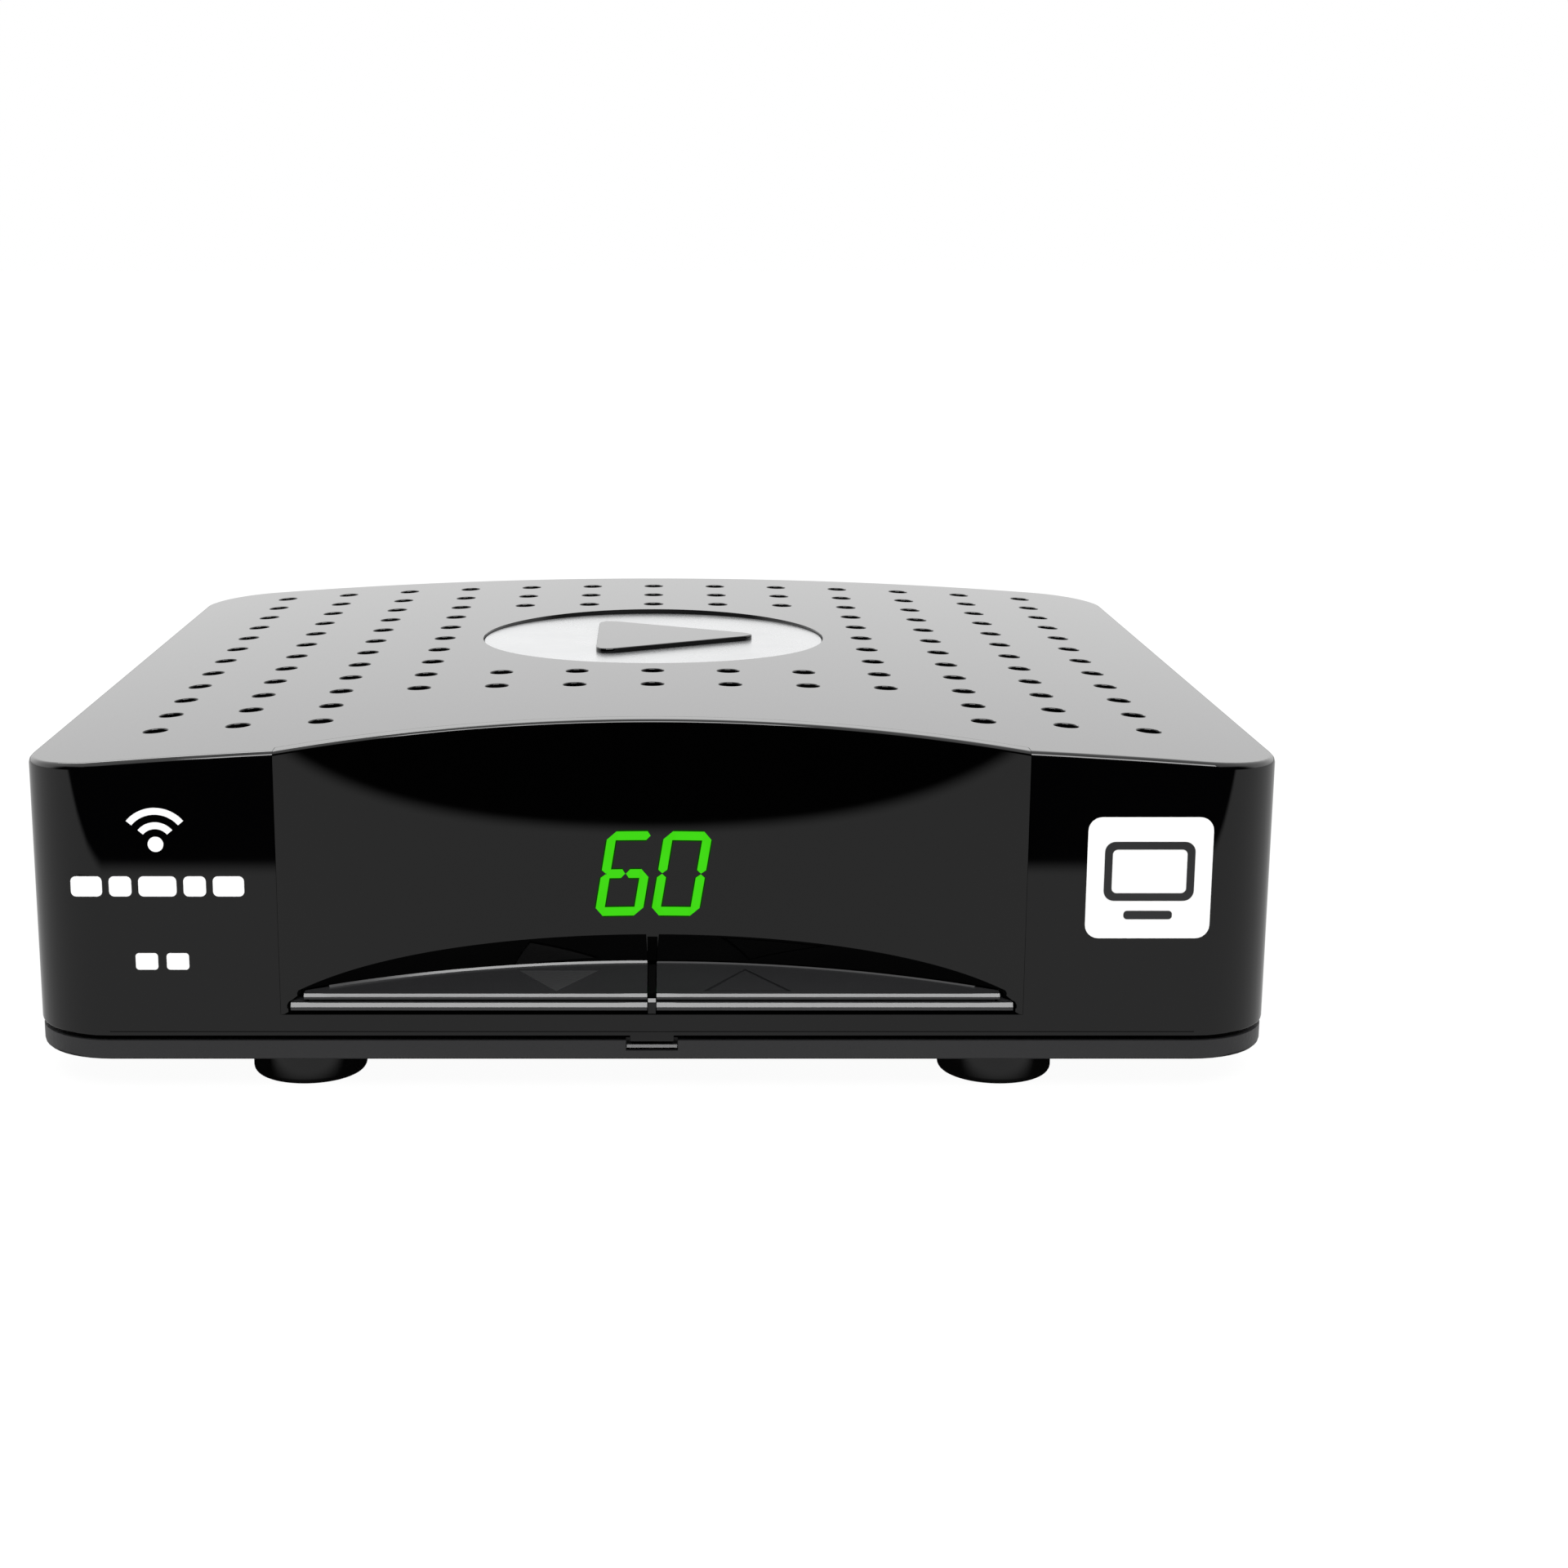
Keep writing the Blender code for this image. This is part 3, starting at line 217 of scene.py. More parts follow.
floor_bm = bmesh.new()
bmesh.ops.create_grid(floor_bm, x_segments=1, y_segments=1, size=FLOOR_SIZE / 2)
floor_mesh = bpy.data.meshes.new("floor")
floor_bm.to_mesh(floor_mesh)
floor_bm.free()
floor = bpy.data.objects.new("floor", floor_mesh)
bpy.context.scene.collection.objects.link(floor)
floor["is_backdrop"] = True

floor_material = bpy.data.materials.new("pale_floor")
floor_material.use_nodes = True
tree = floor_material.node_tree
tree.nodes.clear()
place = add_node(tree, "ShaderNodeTexCoord")
split = add_node(tree, "ShaderNodeSeparateXYZ")
link(tree, place.outputs["Object"], split.inputs[0])
outside = []
for axis, half in (("X", HALF_WIDTH), ("Y", (BACK - FRONT) / 2)):
    side = add_node(tree, "ShaderNodeMath", operation="ABSOLUTE")
    beyond = add_node(tree, "ShaderNodeMath", operation="SUBTRACT")
    beyond.inputs[1].default_value = half
    link(tree, split.outputs[axis], side.inputs[0])
    link(tree, side.outputs[0], beyond.inputs[0])
    outside.append(beyond)
distance = add_node(tree, "ShaderNodeMath", operation="MAXIMUM")
link(tree, outside[0].outputs[0], distance.inputs[0])
link(tree, outside[1].outputs[0], distance.inputs[1])


def soft_step(start, end, top):
    """A smooth rise from 0 at start to the top at end."""
    step = add_node(tree, "ShaderNodeMapRange", interpolation_type="SMOOTHSTEP")
    step.inputs["From Min"].default_value = start
    step.inputs["From Max"].default_value = end
    step.inputs["To Max"].default_value = top
    return step


out_of_shade = soft_step(SHADE_START, SHADE_END, 1.0)
on_table = soft_step(TABLE_EDGE - TABLE_BLUR, TABLE_EDGE + TABLE_BLUR, TABLE_LIGHT)
table_strength = add_node(tree, "ShaderNodeMath", operation="MULTIPLY")
link(tree, distance.outputs[0], out_of_shade.inputs["Value"])
link(tree, split.outputs["Y"], on_table.inputs["Value"])
link(tree, out_of_shade.outputs["Result"], table_strength.inputs[0])
link(tree, on_table.outputs["Result"], table_strength.inputs[1])
table_light = add_node(tree, "ShaderNodeEmission")
link(tree, table_strength.outputs[0], table_light.inputs["Strength"])
shaded = add_node(tree, "ShaderNodeBsdfDiffuse", Color=(0.9, 0.9, 0.9, 1.0))
even = add_node(tree, "ShaderNodeEmission", Color=(1.0, 1.0, 1.0, 1.0), Strength=1.02)
seen_floor = add_node(tree, "ShaderNodeMixShader", Fac=FLOOR_SHADE)
rays = add_node(tree, "ShaderNodeLightPath")
choose = add_node(tree, "ShaderNodeMixShader")
floor_out = add_node(tree, "ShaderNodeOutputMaterial")
link(tree, even.outputs[0], seen_floor.inputs[1])
link(tree, shaded.outputs[0], seen_floor.inputs[2])
link(tree, rays.outputs["Is Glossy Ray"], choose.inputs["Fac"])
link(tree, seen_floor.outputs[0], choose.inputs[1])
link(tree, table_light.outputs[0], choose.inputs[2])
link(tree, choose.outputs[0], floor_out.inputs["Surface"])
floor_mesh.materials.append(floor_material)

# %% [markdown]
# ## Lamps
# Two soft boxes hang above the box. Flat faces don't see them from the camera, but every
# rounded edge does, and draws them as the thin bright lines along the keys and the cover's
# rim, which is what makes an edge look moulded and not cut.

# %% Lamps
def soft_box(name, place, size, power):
    """A rectangular lamp that looks at the middle of the box."""
    data = bpy.data.lights.new(name, "AREA")
    data.shape = "RECTANGLE"
    data.size, data.size_y = size
    data.energy = power
    lamp = bpy.data.objects.new(name, data)
    bpy.context.scene.collection.objects.link(lamp)
    lamp.location = place
    aim = Vector((0, 0, 20 * MM)) - Vector(place)
    lamp.rotation_euler = aim.to_track_quat("-Z", "Y").to_euler()
    return lamp


soft_box("lamp_front", (0.12, -0.75, 0.82), (0.9, 0.35), 9.0)
soft_box("lamp_back", (-0.35, 0.9, 0.9), (0.6, 0.4), 4.0)

# %% [markdown]
# ## Shared surface effects
# Moulded plastic is never perfectly even. Two effects are used by many materials, so each is
# a node group: a fine grain for the tool's texture, which gives a height for Bump, and
# handling marks, which vary the roughness in soft patches. The groups only put out values,
# and each material keeps its own shader.

# %% Grain group
def new_group(name, inputs, outputs):
    """A shader node group with float sockets from (name, default) pairs."""
    group = bpy.data.node_groups.new(name, "ShaderNodeTree")
    for socket_name, default in inputs:
        kind = "NodeSocketVector" if default is None else "NodeSocketFloat"
        socket = group.interface.new_socket(socket_name, in_out="INPUT", socket_type=kind)
        if default is not None:
            socket.default_value = default
    for socket_name in outputs:
        group.interface.new_socket(socket_name, in_out="OUTPUT", socket_type="NodeSocketFloat")
    return group, group.nodes.new("NodeGroupInput"), group.nodes.new("NodeGroupOutput")


grain_group, grain_in, grain_out = new_group(
    "moulded_grain", [("Place", None), ("Scale", 1500.0), ("Detail", 2.0)], ["Height"]
)
coarse = add_node(grain_group, "ShaderNodeTexNoise")
cells = add_node(grain_group, "ShaderNodeTexVoronoi", feature="SMOOTH_F1")
blend_grain = add_node(grain_group, "ShaderNodeMath", operation="MULTIPLY")
for texture in (coarse, cells):
    link(grain_group, grain_in.outputs["Place"], texture.inputs["Vector"])
    link(grain_group, grain_in.outputs["Scale"], texture.inputs["Scale"])
link(grain_group, grain_in.outputs["Detail"], coarse.inputs["Detail"])
link(grain_group, coarse.outputs[0], blend_grain.inputs[0])
link(grain_group, cells.outputs["Distance"], blend_grain.inputs[1])
link(grain_group, blend_grain.outputs[0], grain_out.inputs["Height"])

# %% Handling marks group
marks_group, marks_in, marks_out = new_group(
    "handling_marks", [("Place", None), ("Smooth", 0.05), ("Dull", 0.12)], ["Roughness", "Mask"]
)
patches = add_node(marks_group, "ShaderNodeTexNoise", Scale=38.0, Detail=4.0, Roughness=0.62)
scratches = add_node(marks_group, "ShaderNodeTexNoise", Scale=420.0, Detail=1.0, Distortion=1.4)
thin = add_node(marks_group, "ShaderNodeMapRange")
thin.inputs["From Min"].default_value = 0.66
thin.inputs["From Max"].default_value = 0.74
soft = add_node(marks_group, "ShaderNodeMapRange")
soft.inputs["From Min"].default_value = 0.42
soft.inputs["From Max"].default_value = 0.72
both = add_node(marks_group, "ShaderNodeMath", operation="MULTIPLY_ADD", use_clamp=True)
both.inputs[1].default_value = 0.25
to_rough = add_node(marks_group, "ShaderNodeMapRange")
for texture in (patches, scratches):
    link(marks_group, marks_in.outputs["Place"], texture.inputs["Vector"])
link(marks_group, patches.outputs[0], soft.inputs["Value"])
link(marks_group, scratches.outputs[0], thin.inputs["Value"])
link(marks_group, thin.outputs[0], both.inputs[0])
link(marks_group, soft.outputs[0], both.inputs[2])
link(marks_group, both.outputs[0], to_rough.inputs["Value"])
link(marks_group, marks_in.outputs["Smooth"], to_rough.inputs["To Min"])
link(marks_group, marks_in.outputs["Dull"], to_rough.inputs["To Max"])
link(marks_group, to_rough.outputs[0], marks_out.inputs["Roughness"])
link(marks_group, both.outputs[0], marks_out.inputs["Mask"])
print("groups:", [group.name for group in (grain_group, marks_group)])

# %% [markdown]
# ## Materials
# One function wires a Principled shader to both groups, and each finish gives its own values:
# colours for the clean and the handled parts, how smooth and how dull it gets, and how
# strong and how fine its grain is. The polished black parts have next to no grain, the tray
# has the fine spark-eroded texture of a cheaper moulding, and the metals have brushed or
# plated variation.

# %% Finish function
def finish(name, colour, tint=None, smooth=0.1, dull=0.2, grain=0.0, scale=1500.0, metallic=0.0, **plain):
    """A procedural material. Extra values are set on the shader's own sockets."""
    material = bpy.data.materials.new(name)
    material.use_nodes = True
    tree = material.node_tree
    shader = tree.nodes["Principled BSDF"]
    shader.inputs["Metallic"].default_value = metallic
    for socket, value in plain.items():
        shader.inputs[socket.replace("_", " ")].default_value = value
    place = add_node(tree, "ShaderNodeTexCoord")
    marks = add_node(tree, "ShaderNodeGroup", node_tree=marks_group)
    marks.inputs["Smooth"].default_value = smooth
    marks.inputs["Dull"].default_value = dull
    link(tree, place.outputs["Object"], marks.inputs["Place"])
    link(tree, marks.outputs["Roughness"], shader.inputs["Roughness"])
    mix = add_node(tree, "ShaderNodeMix", data_type="RGBA")
    mix.inputs[6].default_value = (*colour, 1.0)
    mix.inputs[7].default_value = (*(tint or [c * 1.12 for c in colour]), 1.0)
    link(tree, marks.outputs["Mask"], mix.inputs["Factor"])
    link(tree, mix.outputs[2], shader.inputs["Base Color"])
    if grain:
        texture = add_node(tree, "ShaderNodeGroup", node_tree=grain_group)
        texture.inputs["Scale"].default_value = scale
        bump = add_node(tree, "ShaderNodeBump", Strength=grain, Distance=0.0001)
        link(tree, place.outputs["Object"], texture.inputs["Place"])
        link(tree, texture.outputs["Height"], bump.inputs["Height"])
        link(tree, bump.outputs["Normal"], shader.inputs["Normal"])
    return material


# %% Finishes
COVER_BLACK = finish("cover_black", (0.0006, 0.0006, 0.0007), smooth=0.025, dull=0.06)
WINDOW_BLACK = finish("window_black", (0.0004, 0.0004, 0.0004), smooth=0.012, dull=0.035)
KEY_BLACK = finish("key_black", (0.022, 0.022, 0.023), smooth=0.19, dull=0.23)
MARK_GREY = finish("key_mark", (0.032, 0.032, 0.033), smooth=0.35, dull=0.5, grain=0.3, scale=2600.0)
TRAY_BLACK = finish(
    "tray_black", (0.015, 0.015, 0.016), smooth=0.34, dull=0.46, grain=0.35, scale=2600.0
)
FOOT_BLACK = finish(
    "foot_rubber", (0.0015, 0.0015, 0.0015), (0.003, 0.003, 0.003), 0.08, 0.15, 0.05, 1800.0
)
# Painted shade: a near-black matt finish that reflects almost nothing, for the block that fills the split
# between the keys.
PAINTED_SPLIT_SHADE = finish("painted_split_shade", (0.0006, 0.0006, 0.0006), smooth=0.6, dull=0.8, Specular_IOR_Level=0.05)
LABEL_WHITE = finish("print_white", (0.93, 0.93, 0.93), (0.90, 0.90, 0.89), 0.30, 0.42)
LABEL_INK = finish("print_ink", (0.018, 0.018, 0.019), smooth=0.30, dull=0.42)
EMBLEM_SILVER = finish(
    "emblem_silver", (0.46, 0.465, 0.47), (0.43, 0.435, 0.44), 0.26, 0.36, 0.0, 2200.0, 0.75
)
PANEL_BLACK = finish("panel_black", (0.03, 0.03, 0.031), smooth=0.38, dull=0.5, grain=0.5)
NICKEL = finish("plated_nickel", (0.72, 0.71, 0.68), (0.60, 0.58, 0.54), 0.12, 0.28, 0.0, 1.0, 1.0)
TINPLATE = finish("tinplate", (0.66, 0.66, 0.64), (0.55, 0.55, 0.53), 0.25, 0.42, 0.2, 900.0, 1.0)
SCREW_ZINC = finish("screw_zinc", (0.50, 0.50, 0.51), (0.40, 0.40, 0.38), 0.28, 0.45, 0.2, 900.0, 1.0)
ALUMINIUM = finish("extruded_fins", (0.55, 0.56, 0.58), smooth=0.32, dull=0.5, metallic=1.0)
PART_BLACK = finish("part_black", (0.02, 0.02, 0.02), smooth=0.4, dull=0.6, grain=0.5)
PART_WHITE = finish("part_white", (0.74, 0.74, 0.71), (0.62, 0.61, 0.57), 0.35, 0.5)
PART_GREY = finish("part_grey", (0.28, 0.28, 0.29), smooth=0.4, dull=0.55)
RIBBON_GREY = finish("ribbon_grey", (0.42, 0.42, 0.43), (0.36, 0.36, 0.36), 0.35, 0.5)
SLEEVE_BLUE = finish("capacitor_sleeve", (0.04, 0.06, 0.15), smooth=0.25, dull=0.4)
FERRITE = finish("ferrite", (0.06, 0.06, 0.062), smooth=0.5, dull=0.7, grain=0.6)
LAMINATE = finish("board_laminate", (0.02, 0.13, 0.05), (0.05, 0.2, 0.08), 0.25, 0.4)
GOLD = finish("contact_gold", (0.80, 0.58, 0.22), smooth=0.2, dull=0.3, metallic=1.0)
PHONO_COLOURS = {
    "yellow": finish("phono_yellow", (0.74, 0.52, 0.03), smooth=0.25, dull=0.4),
    "white": finish("phono_white", (0.78, 0.78, 0.75), smooth=0.25, dull=0.4),
    "red": finish("phono_red", (0.55, 0.02, 0.02), smooth=0.25, dull=0.4),
}

# %% [markdown]
# The digits glow by themselves. Their light is a colour on the shader's emission that varies
# a little, and it is held back in reflections, where it would shine too strongly. The smoked
# window spreads some of it, so a darker green halo lies behind the bars.

# %% Lit segment finish
LIT_GREEN = finish("lit_green", (0.003, 0.02, 0.002), smooth=0.3, dull=0.4, Specular_IOR_Level=0.0)
HALO_GREEN = finish(
    "halo_green",
    (0.001, 0.008, 0.001),
    smooth=0.3,
    dull=0.4,
    Specular_IOR_Level=0.0,
    Emission_Color=(0.003, 0.035, 0.001, 1.0),
    Emission_Strength=1.0,
)
shader = LIT_GREEN.node_tree.nodes["Principled BSDF"]
glow = add_node(LIT_GREEN.node_tree, "ShaderNodeTexNoise", Scale=260.0, Detail=1.0)
place = add_node(LIT_GREEN.node_tree, "ShaderNodeTexCoord")
glow_mix = add_node(LIT_GREEN.node_tree, "ShaderNodeMix", data_type="RGBA")
glow_mix.inputs[6].default_value = (0.0495, 0.65, 0.0066, 1.0)
glow_mix.inputs[7].default_value = (0.053, 0.69, 0.0074, 1.0)
link(LIT_GREEN.node_tree, place.outputs["Object"], glow.inputs["Vector"])
link(LIT_GREEN.node_tree, glow.outputs[0], glow_mix.inputs["Factor"])
seen_glow = add_node(LIT_GREEN.node_tree, "ShaderNodeMix", data_type="RGBA")
seen_glow.inputs[7].default_value = (0.0, 0.008, 0.0, 1.0)
rays = add_node(LIT_GREEN.node_tree, "ShaderNodeLightPath")
link(LIT_GREEN.node_tree, rays.outputs["Is Glossy Ray"], seen_glow.inputs["Factor"])
link(LIT_GREEN.node_tree, glow_mix.outputs[2], seen_glow.inputs[6])
link(LIT_GREEN.node_tree, seen_glow.outputs[2], shader.inputs["Emission Color"])
shader.inputs["Emission Strength"].default_value = 1.0
print("materials:", len(bpy.data.materials))

# %% [markdown]
# ## Modelling tools
# Each piece starts as a bmesh. These few helpers close, cut and finish one, so that the cells
# below can talk about the piece and not about bookkeeping. Boolean cuts use the exact solver
# on two throw-away objects, because vents in a curved top are slow to weave in by hand.

# %% Tools
def everything(bm):
    return bm.verts[:] + bm.edges[:] + bm.faces[:]


def close_holes(bm):
    """Fills every open rim and turns the faces outwards."""
    bmesh.ops.holes_fill(bm, edges=[e for e in bm.edges if e.is_boundary], sides=0)
    bmesh.ops.recalc_face_normals(bm, faces=bm.faces)


def round_edges(bm, edges, width, segments=3):
    """Rounds these edges with an arc."""
    bmesh.ops.bevel(
        bm,
        geom=edges,
        offset=width,
        offset_type="OFFSET",
        affect="EDGES",
        segments=segments,
        profile=0.5,
        material=-1,
        clamp_overlap=True,
    )


def sharp_edges(bm, angle=50.0):
    limit = math.radians(angle)
    return [e for e in bm.edges if len(e.link_faces) == 2 and e.calc_face_angle() > limit]


def raise_faces(bm, height, direction=(0, 0, 1)):
    """Gives a flat shape its thickness, and closes it."""
    made = bmesh.ops.extrude_face_region(bm, geom=bm.faces[:])
    raised = [item for item in made["geom"] if isinstance(item, bmesh.types.BMVert)]
    bmesh.ops.translate(bm, verts=raised, vec=Vector(direction) * height)
    close_holes(bm)


def block(low, high, edge=0.0, segments=2):
    """A box between two corners, with rounded edges."""
    low, high = Vector(low), Vector(high)
    bm = bmesh.new()
    place = Matrix.Translation((low + high) / 2) @ Matrix.Diagonal((*(high - low), 1.0))
    bmesh.ops.create_cube(bm, size=1.0, matrix=place)
    if edge:
        round_edges(bm, bm.edges[:], edge, segments)
    return bm


def cylinder(places, radius, start, end, axis="Z", sides=48, edge=0.0):
    """Parallel cylinders from start to end along an axis, one at each place across it."""
    bm = bmesh.new()
    turn = Matrix.Rotation(math.radians(90), 4, "X") if axis == "Y" else Matrix()
    for across, other in places:
        middle = (start + end) / 2
        centre = (across, middle, other) if axis == "Y" else (across, other, middle)
        bmesh.ops.create_cone(
            bm,
            cap_ends=True,
            segments=sides,
            radius1=radius,
            radius2=radius,
            depth=end - start,
            matrix=Matrix.Translation(centre) @ turn,
        )
    if edge:
        round_edges(bm, sharp_edges(bm), edge)
    return bm


def turned(profile, centre, axis="Z", steps=64):
    """Turns an open outline of (radius, along) points round an axis through a centre."""
    bm = bmesh.new()
    points = [bm.verts.new((radius, 0, along)) for radius, along in profile]
    edges = [bm.edges.new(pair) for pair in zip(points, points[1:])]
    bmesh.ops.spin(
        bm,
        geom=points + edges,
        cent=(0, 0, 0),
        axis=(0, 0, 1),
        angle=2 * math.pi,
        steps=steps,
        use_merge=True,
    )
    bmesh.ops.remove_doubles(bm, verts=bm.verts, dist=1e-6)
    close_holes(bm)
    turn = Matrix.Rotation(math.radians(-90), 4, "X") if axis == "Y" else Matrix()
    bmesh.ops.transform(bm, matrix=Matrix.Translation(centre) @ turn, verts=bm.verts)
    return bm


def temporary(bm, name):
    mesh = bpy.data.meshes.new(name)
    bm.to_mesh(mesh)
    bm.free()
    thing = bpy.data.objects.new(name, mesh)
    bpy.context.scene.collection.objects.link(thing)
    return thing


def combine(bm, steps):
    """Runs Boolean steps of (operation, bmesh) on a bmesh, and returns the result."""
    base = temporary(bm, "work")
    tools = [temporary(tool, f"tool_{index}") for index, (_, tool) in enumerate(steps)]
    for (operation, _), tool in zip(steps, tools):
        modifier = base.modifiers.new(tool.name, "BOOLEAN")
        modifier.operation = operation
        modifier.solver = "EXACT"
        modifier.object = tool
    graph = bpy.context.evaluated_depsgraph_get()
    mesh = bpy.data.meshes.new_from_object(base.evaluated_get(graph))
    result = bmesh.new()
    result.from_mesh(mesh)
    bpy.data.meshes.remove(mesh)
    for thing in (base, *tools):
        data = thing.data
        bpy.data.objects.remove(thing)
        bpy.data.meshes.remove(data)
    return result


def piece(bm, name, material, stands_for=(), body="case", even=True, crease=35.0):
    """Makes the finished object: merged, smooth, on its body, in the place of its nodes."""
    bmesh.ops.remove_doubles(bm, verts=bm.verts, dist=2e-7)
    mesh = bpy.data.meshes.new(name)
    bm.to_mesh(mesh)
    bm.free()
    mesh.materials.clear()
    mesh.materials.append(material)
    mesh.shade_smooth()
    mesh.set_sharp_from_angle(angle=math.radians(crease))
    made = bpy.data.objects.new(name, mesh)
    bpy.context.scene.collection.objects.link(made)
    if even:
        shading = made.modifiers.new("even_shading", "WEIGHTED_NORMAL")
        shading.keep_sharp = True
    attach(made, body)
    if stands_for:
        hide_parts(*stands_for)
    print(f"{name}: {len(mesh.polygons)} faces")
    return made


# %% [markdown]
# ## Rounded, crowned blocks
# The cover, its hollow and the tray all share one plan: a rectangle with round corners. The
# plan is a one-face grid whose four corners are bevelled, then raised. The crown is made by
# slicing the block lengthwise and lowering each slice's top, so the slices run beside the
# vents and never through them.

# %% Crowned block
VENT_PITCH = 10 * MM
SLICE_OFFSETS = (2.5 * MM, 5 * MM, 7.5 * MM)
SLICE_MARGIN = 3 * MM  # keeps slices off the rounded rims


def plan_block(inset, low, high, corner=CORNER, segments=12):
    """The case's rounded plan, moved in by the inset, raised from low to high."""
    bm = bmesh.new()
    width, depth = 2 * (HALF_WIDTH - inset), BACK - FRONT - 2 * inset
    place = Matrix.Translation((0, (FRONT + BACK) / 2, low)) @ Matrix.Diagonal((width, depth, 1, 1))
    bmesh.ops.create_grid(bm, x_segments=1, y_segments=1, size=0.5, matrix=place)
    bmesh.ops.bevel(
        bm,
        geom=bm.verts[:],
        offset=corner - inset,
        offset_type="OFFSET",
        affect="VERTICES",
        segments=segments,
        profile=0.5,
        material=-1,
    )
    raise_faces(bm, high - low)
    return bm


def crown_top(bm, drop=0.0):
    """Slices a block lengthwise and bends its flat top to the crown."""
    top = max(v.co.z for v in bm.verts)
    columns = int(HALF_WIDTH / VENT_PITCH) + 1
    for column in range(-columns, columns + 1):
        for offset in SLICE_OFFSETS:
            x = column * VENT_PITCH + offset
            if abs(x) < HALF_WIDTH - SLICE_MARGIN:
                bmesh.ops.bisect_plane(
                    bm, geom=everything(bm), dist=1e-7, plane_co=(x, 0, 0), plane_no=(1, 0, 0)
                )
    for v in bm.verts:
        if v.co.z > top - 1e-6:
            v.co.z = crown_at(v.co.x, drop)
    bmesh.ops.recalc_face_normals(bm, faces=bm.faces)
    return bm


# %% [markdown]
# ## Vents
# Each vent is a round 3 mm hole with a finely rounded rim, where light catches on the near
# side. One cutter is a cylinder whose lid is raised and widened in steps along a quarter
# circle, like a trumpet, and is leaned to the crown's slope. It is made at every place. The
# rows stop in front of the scoop and around the emblem.

# %% Vent cutters
VENT_RADIUS = 1.5 * MM
VENT_RIM = 0.22 * MM
VENT_SIDES = 24
VENT_COLUMNS = 6
VENT_ROWS = 12
FIRST_ROW = FRONT + 17.3 * MM
EMBLEM_ROW = 6
TRUMPET = [math.radians(angle) for angle in (0, 30, 60, 90)]


def vent_places():
    places = []
    for row in range(VENT_ROWS):
        clear = 4 if row < 2 else 3 if abs(row - EMBLEM_ROW) <= 2 else 0
        for column in range(-VENT_COLUMNS, VENT_COLUMNS + 1):
            if abs(column) >= clear:
                places.append((column * VENT_PITCH, FIRST_ROW + row * VENT_PITCH))
    return places


def raise_lid(bm, lid, centre, widen, lift):
    """Raises a flat lid as a new ring, widened about its centre."""
    lid = bmesh.ops.extrude_discrete_faces(bm, faces=[lid])["faces"][0]
    at_centre = Matrix.Translation((-centre[0], -centre[1], 0))
    bmesh.ops.scale(bm, vec=(widen, widen, 1), space=at_centre, verts=lid.verts)
    bmesh.ops.translate(bm, vec=(0, 0, lift), verts=lid.verts)
    return lid


def vent_cutter(bm, x, y):
    """Adds one vent's cutter: a cylinder with a trumpet mouth on the crown."""
    mouth = crown_at(x) - VENT_RIM
    low = mouth - 2 * WALL
    made = bmesh.ops.create_cone(
        bm,
        cap_ends=True,
        segments=VENT_SIDES,
        radius1=VENT_RADIUS,
        radius2=VENT_RADIUS,
        depth=mouth - low,
        matrix=Matrix.Translation((x, y, (mouth + low) / 2)),
    )
    faces = {face for vert in made["verts"] for face in vert.link_faces}
    lid = max(faces, key=lambda face: face.calc_center_median().z)
    radii = [VENT_RADIUS + VENT_RIM * (1 - math.cos(turn)) for turn in TRUMPET]
    rings = list(made["verts"])
    for index in range(1, len(TRUMPET)):
        lift = VENT_RIM * (math.sin(TRUMPET[index]) - math.sin(TRUMPET[index - 1]))
        lid = raise_lid(bm, lid, (x, y), radii[index] / radii[index - 1], lift)
        rings += lid.verts[:]
    rings += raise_lid(bm, lid, (x, y), 1.0, WALL).verts[:]
    for vert in rings:
        vert.co.z -= (vert.co.x - x) * x / CROWN_RADIUS


def vent_cutters():
    bm = bmesh.new()
    for x, y in vent_places():
        vent_cutter(bm, x, y)
    bmesh.ops.recalc_face_normals(bm, faces=bm.faces)
    return bm


print("vents:", len(vent_places()))

# %% [markdown]
# ## Cover
# The real cover is a single thin moulding. It is made as the real tool makes it: a crowned
# block with rounded rims, less a hollow, less the scoop, the vents, the emblem's recess and
# the opening at the rear, with the screw bosses and the little front tab added. The rims are
# rounded before the cuts, while the block is still simple.

# %% Cover
RIM = 0.7 * MM
LOWER_RIM = 0.25 * MM
SEAM = 0.06 * MM  # the real gap between mouldings that the frame keeps wider
BAR_TOP = 9.6 * MM
TAB_HALF, TAB_LOW = 2.6 * MM, 6.25 * MM  # the tab that drops into the tray's notch
GROOVE_LOW, GROOVE_HIGH = 7.5 * MM, 7.65 * MM  # a fine line along the foot of the bar
GROOVE_HALF = HALF_WIDTH - CORNER
EMBLEM_Y = FIRST_ROW + EMBLEM_ROW * VENT_PITCH
EMBLEM_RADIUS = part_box("emblem_plate")[1].x
EMBLEM_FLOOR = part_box("emblem_plate")[0].z
SCREW_NODES = [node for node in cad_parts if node.startswith("case_screw")]


def middle(node):
    low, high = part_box(node)
    return (low + high) / 2


def top_rim(bm, low):
    """The edges between the crowned top and the sides, or between the underside and them."""
    rim = []
    for edge in sharp_edges(bm):
        heights = [f.normal.z for f in edge.link_faces]
        if (max(heights) > 0.9) if not low else (min(heights) < -0.9):
            rim.append(edge)
    return rim


def scoop_cutter(reach, low):
    """Everything in front of the scoop's arc, moved back by the reach."""
    half = SCOOP_HALF + SEAM * 5
    radius = SCOOP_RADIUS + reach
    bm = cylinder([(0, SCOOP_AXIS)], radius, low, APEX + WALL, sides=720)
    for side in (-1, 1):
        bmesh.ops.bisect_plane(
            bm,
            geom=everything(bm),
            plane_co=(side * half, 0, 0),
            plane_no=(side, 0, 0),
            clear_outer=True,
        )
    close_holes(bm)
    return bm


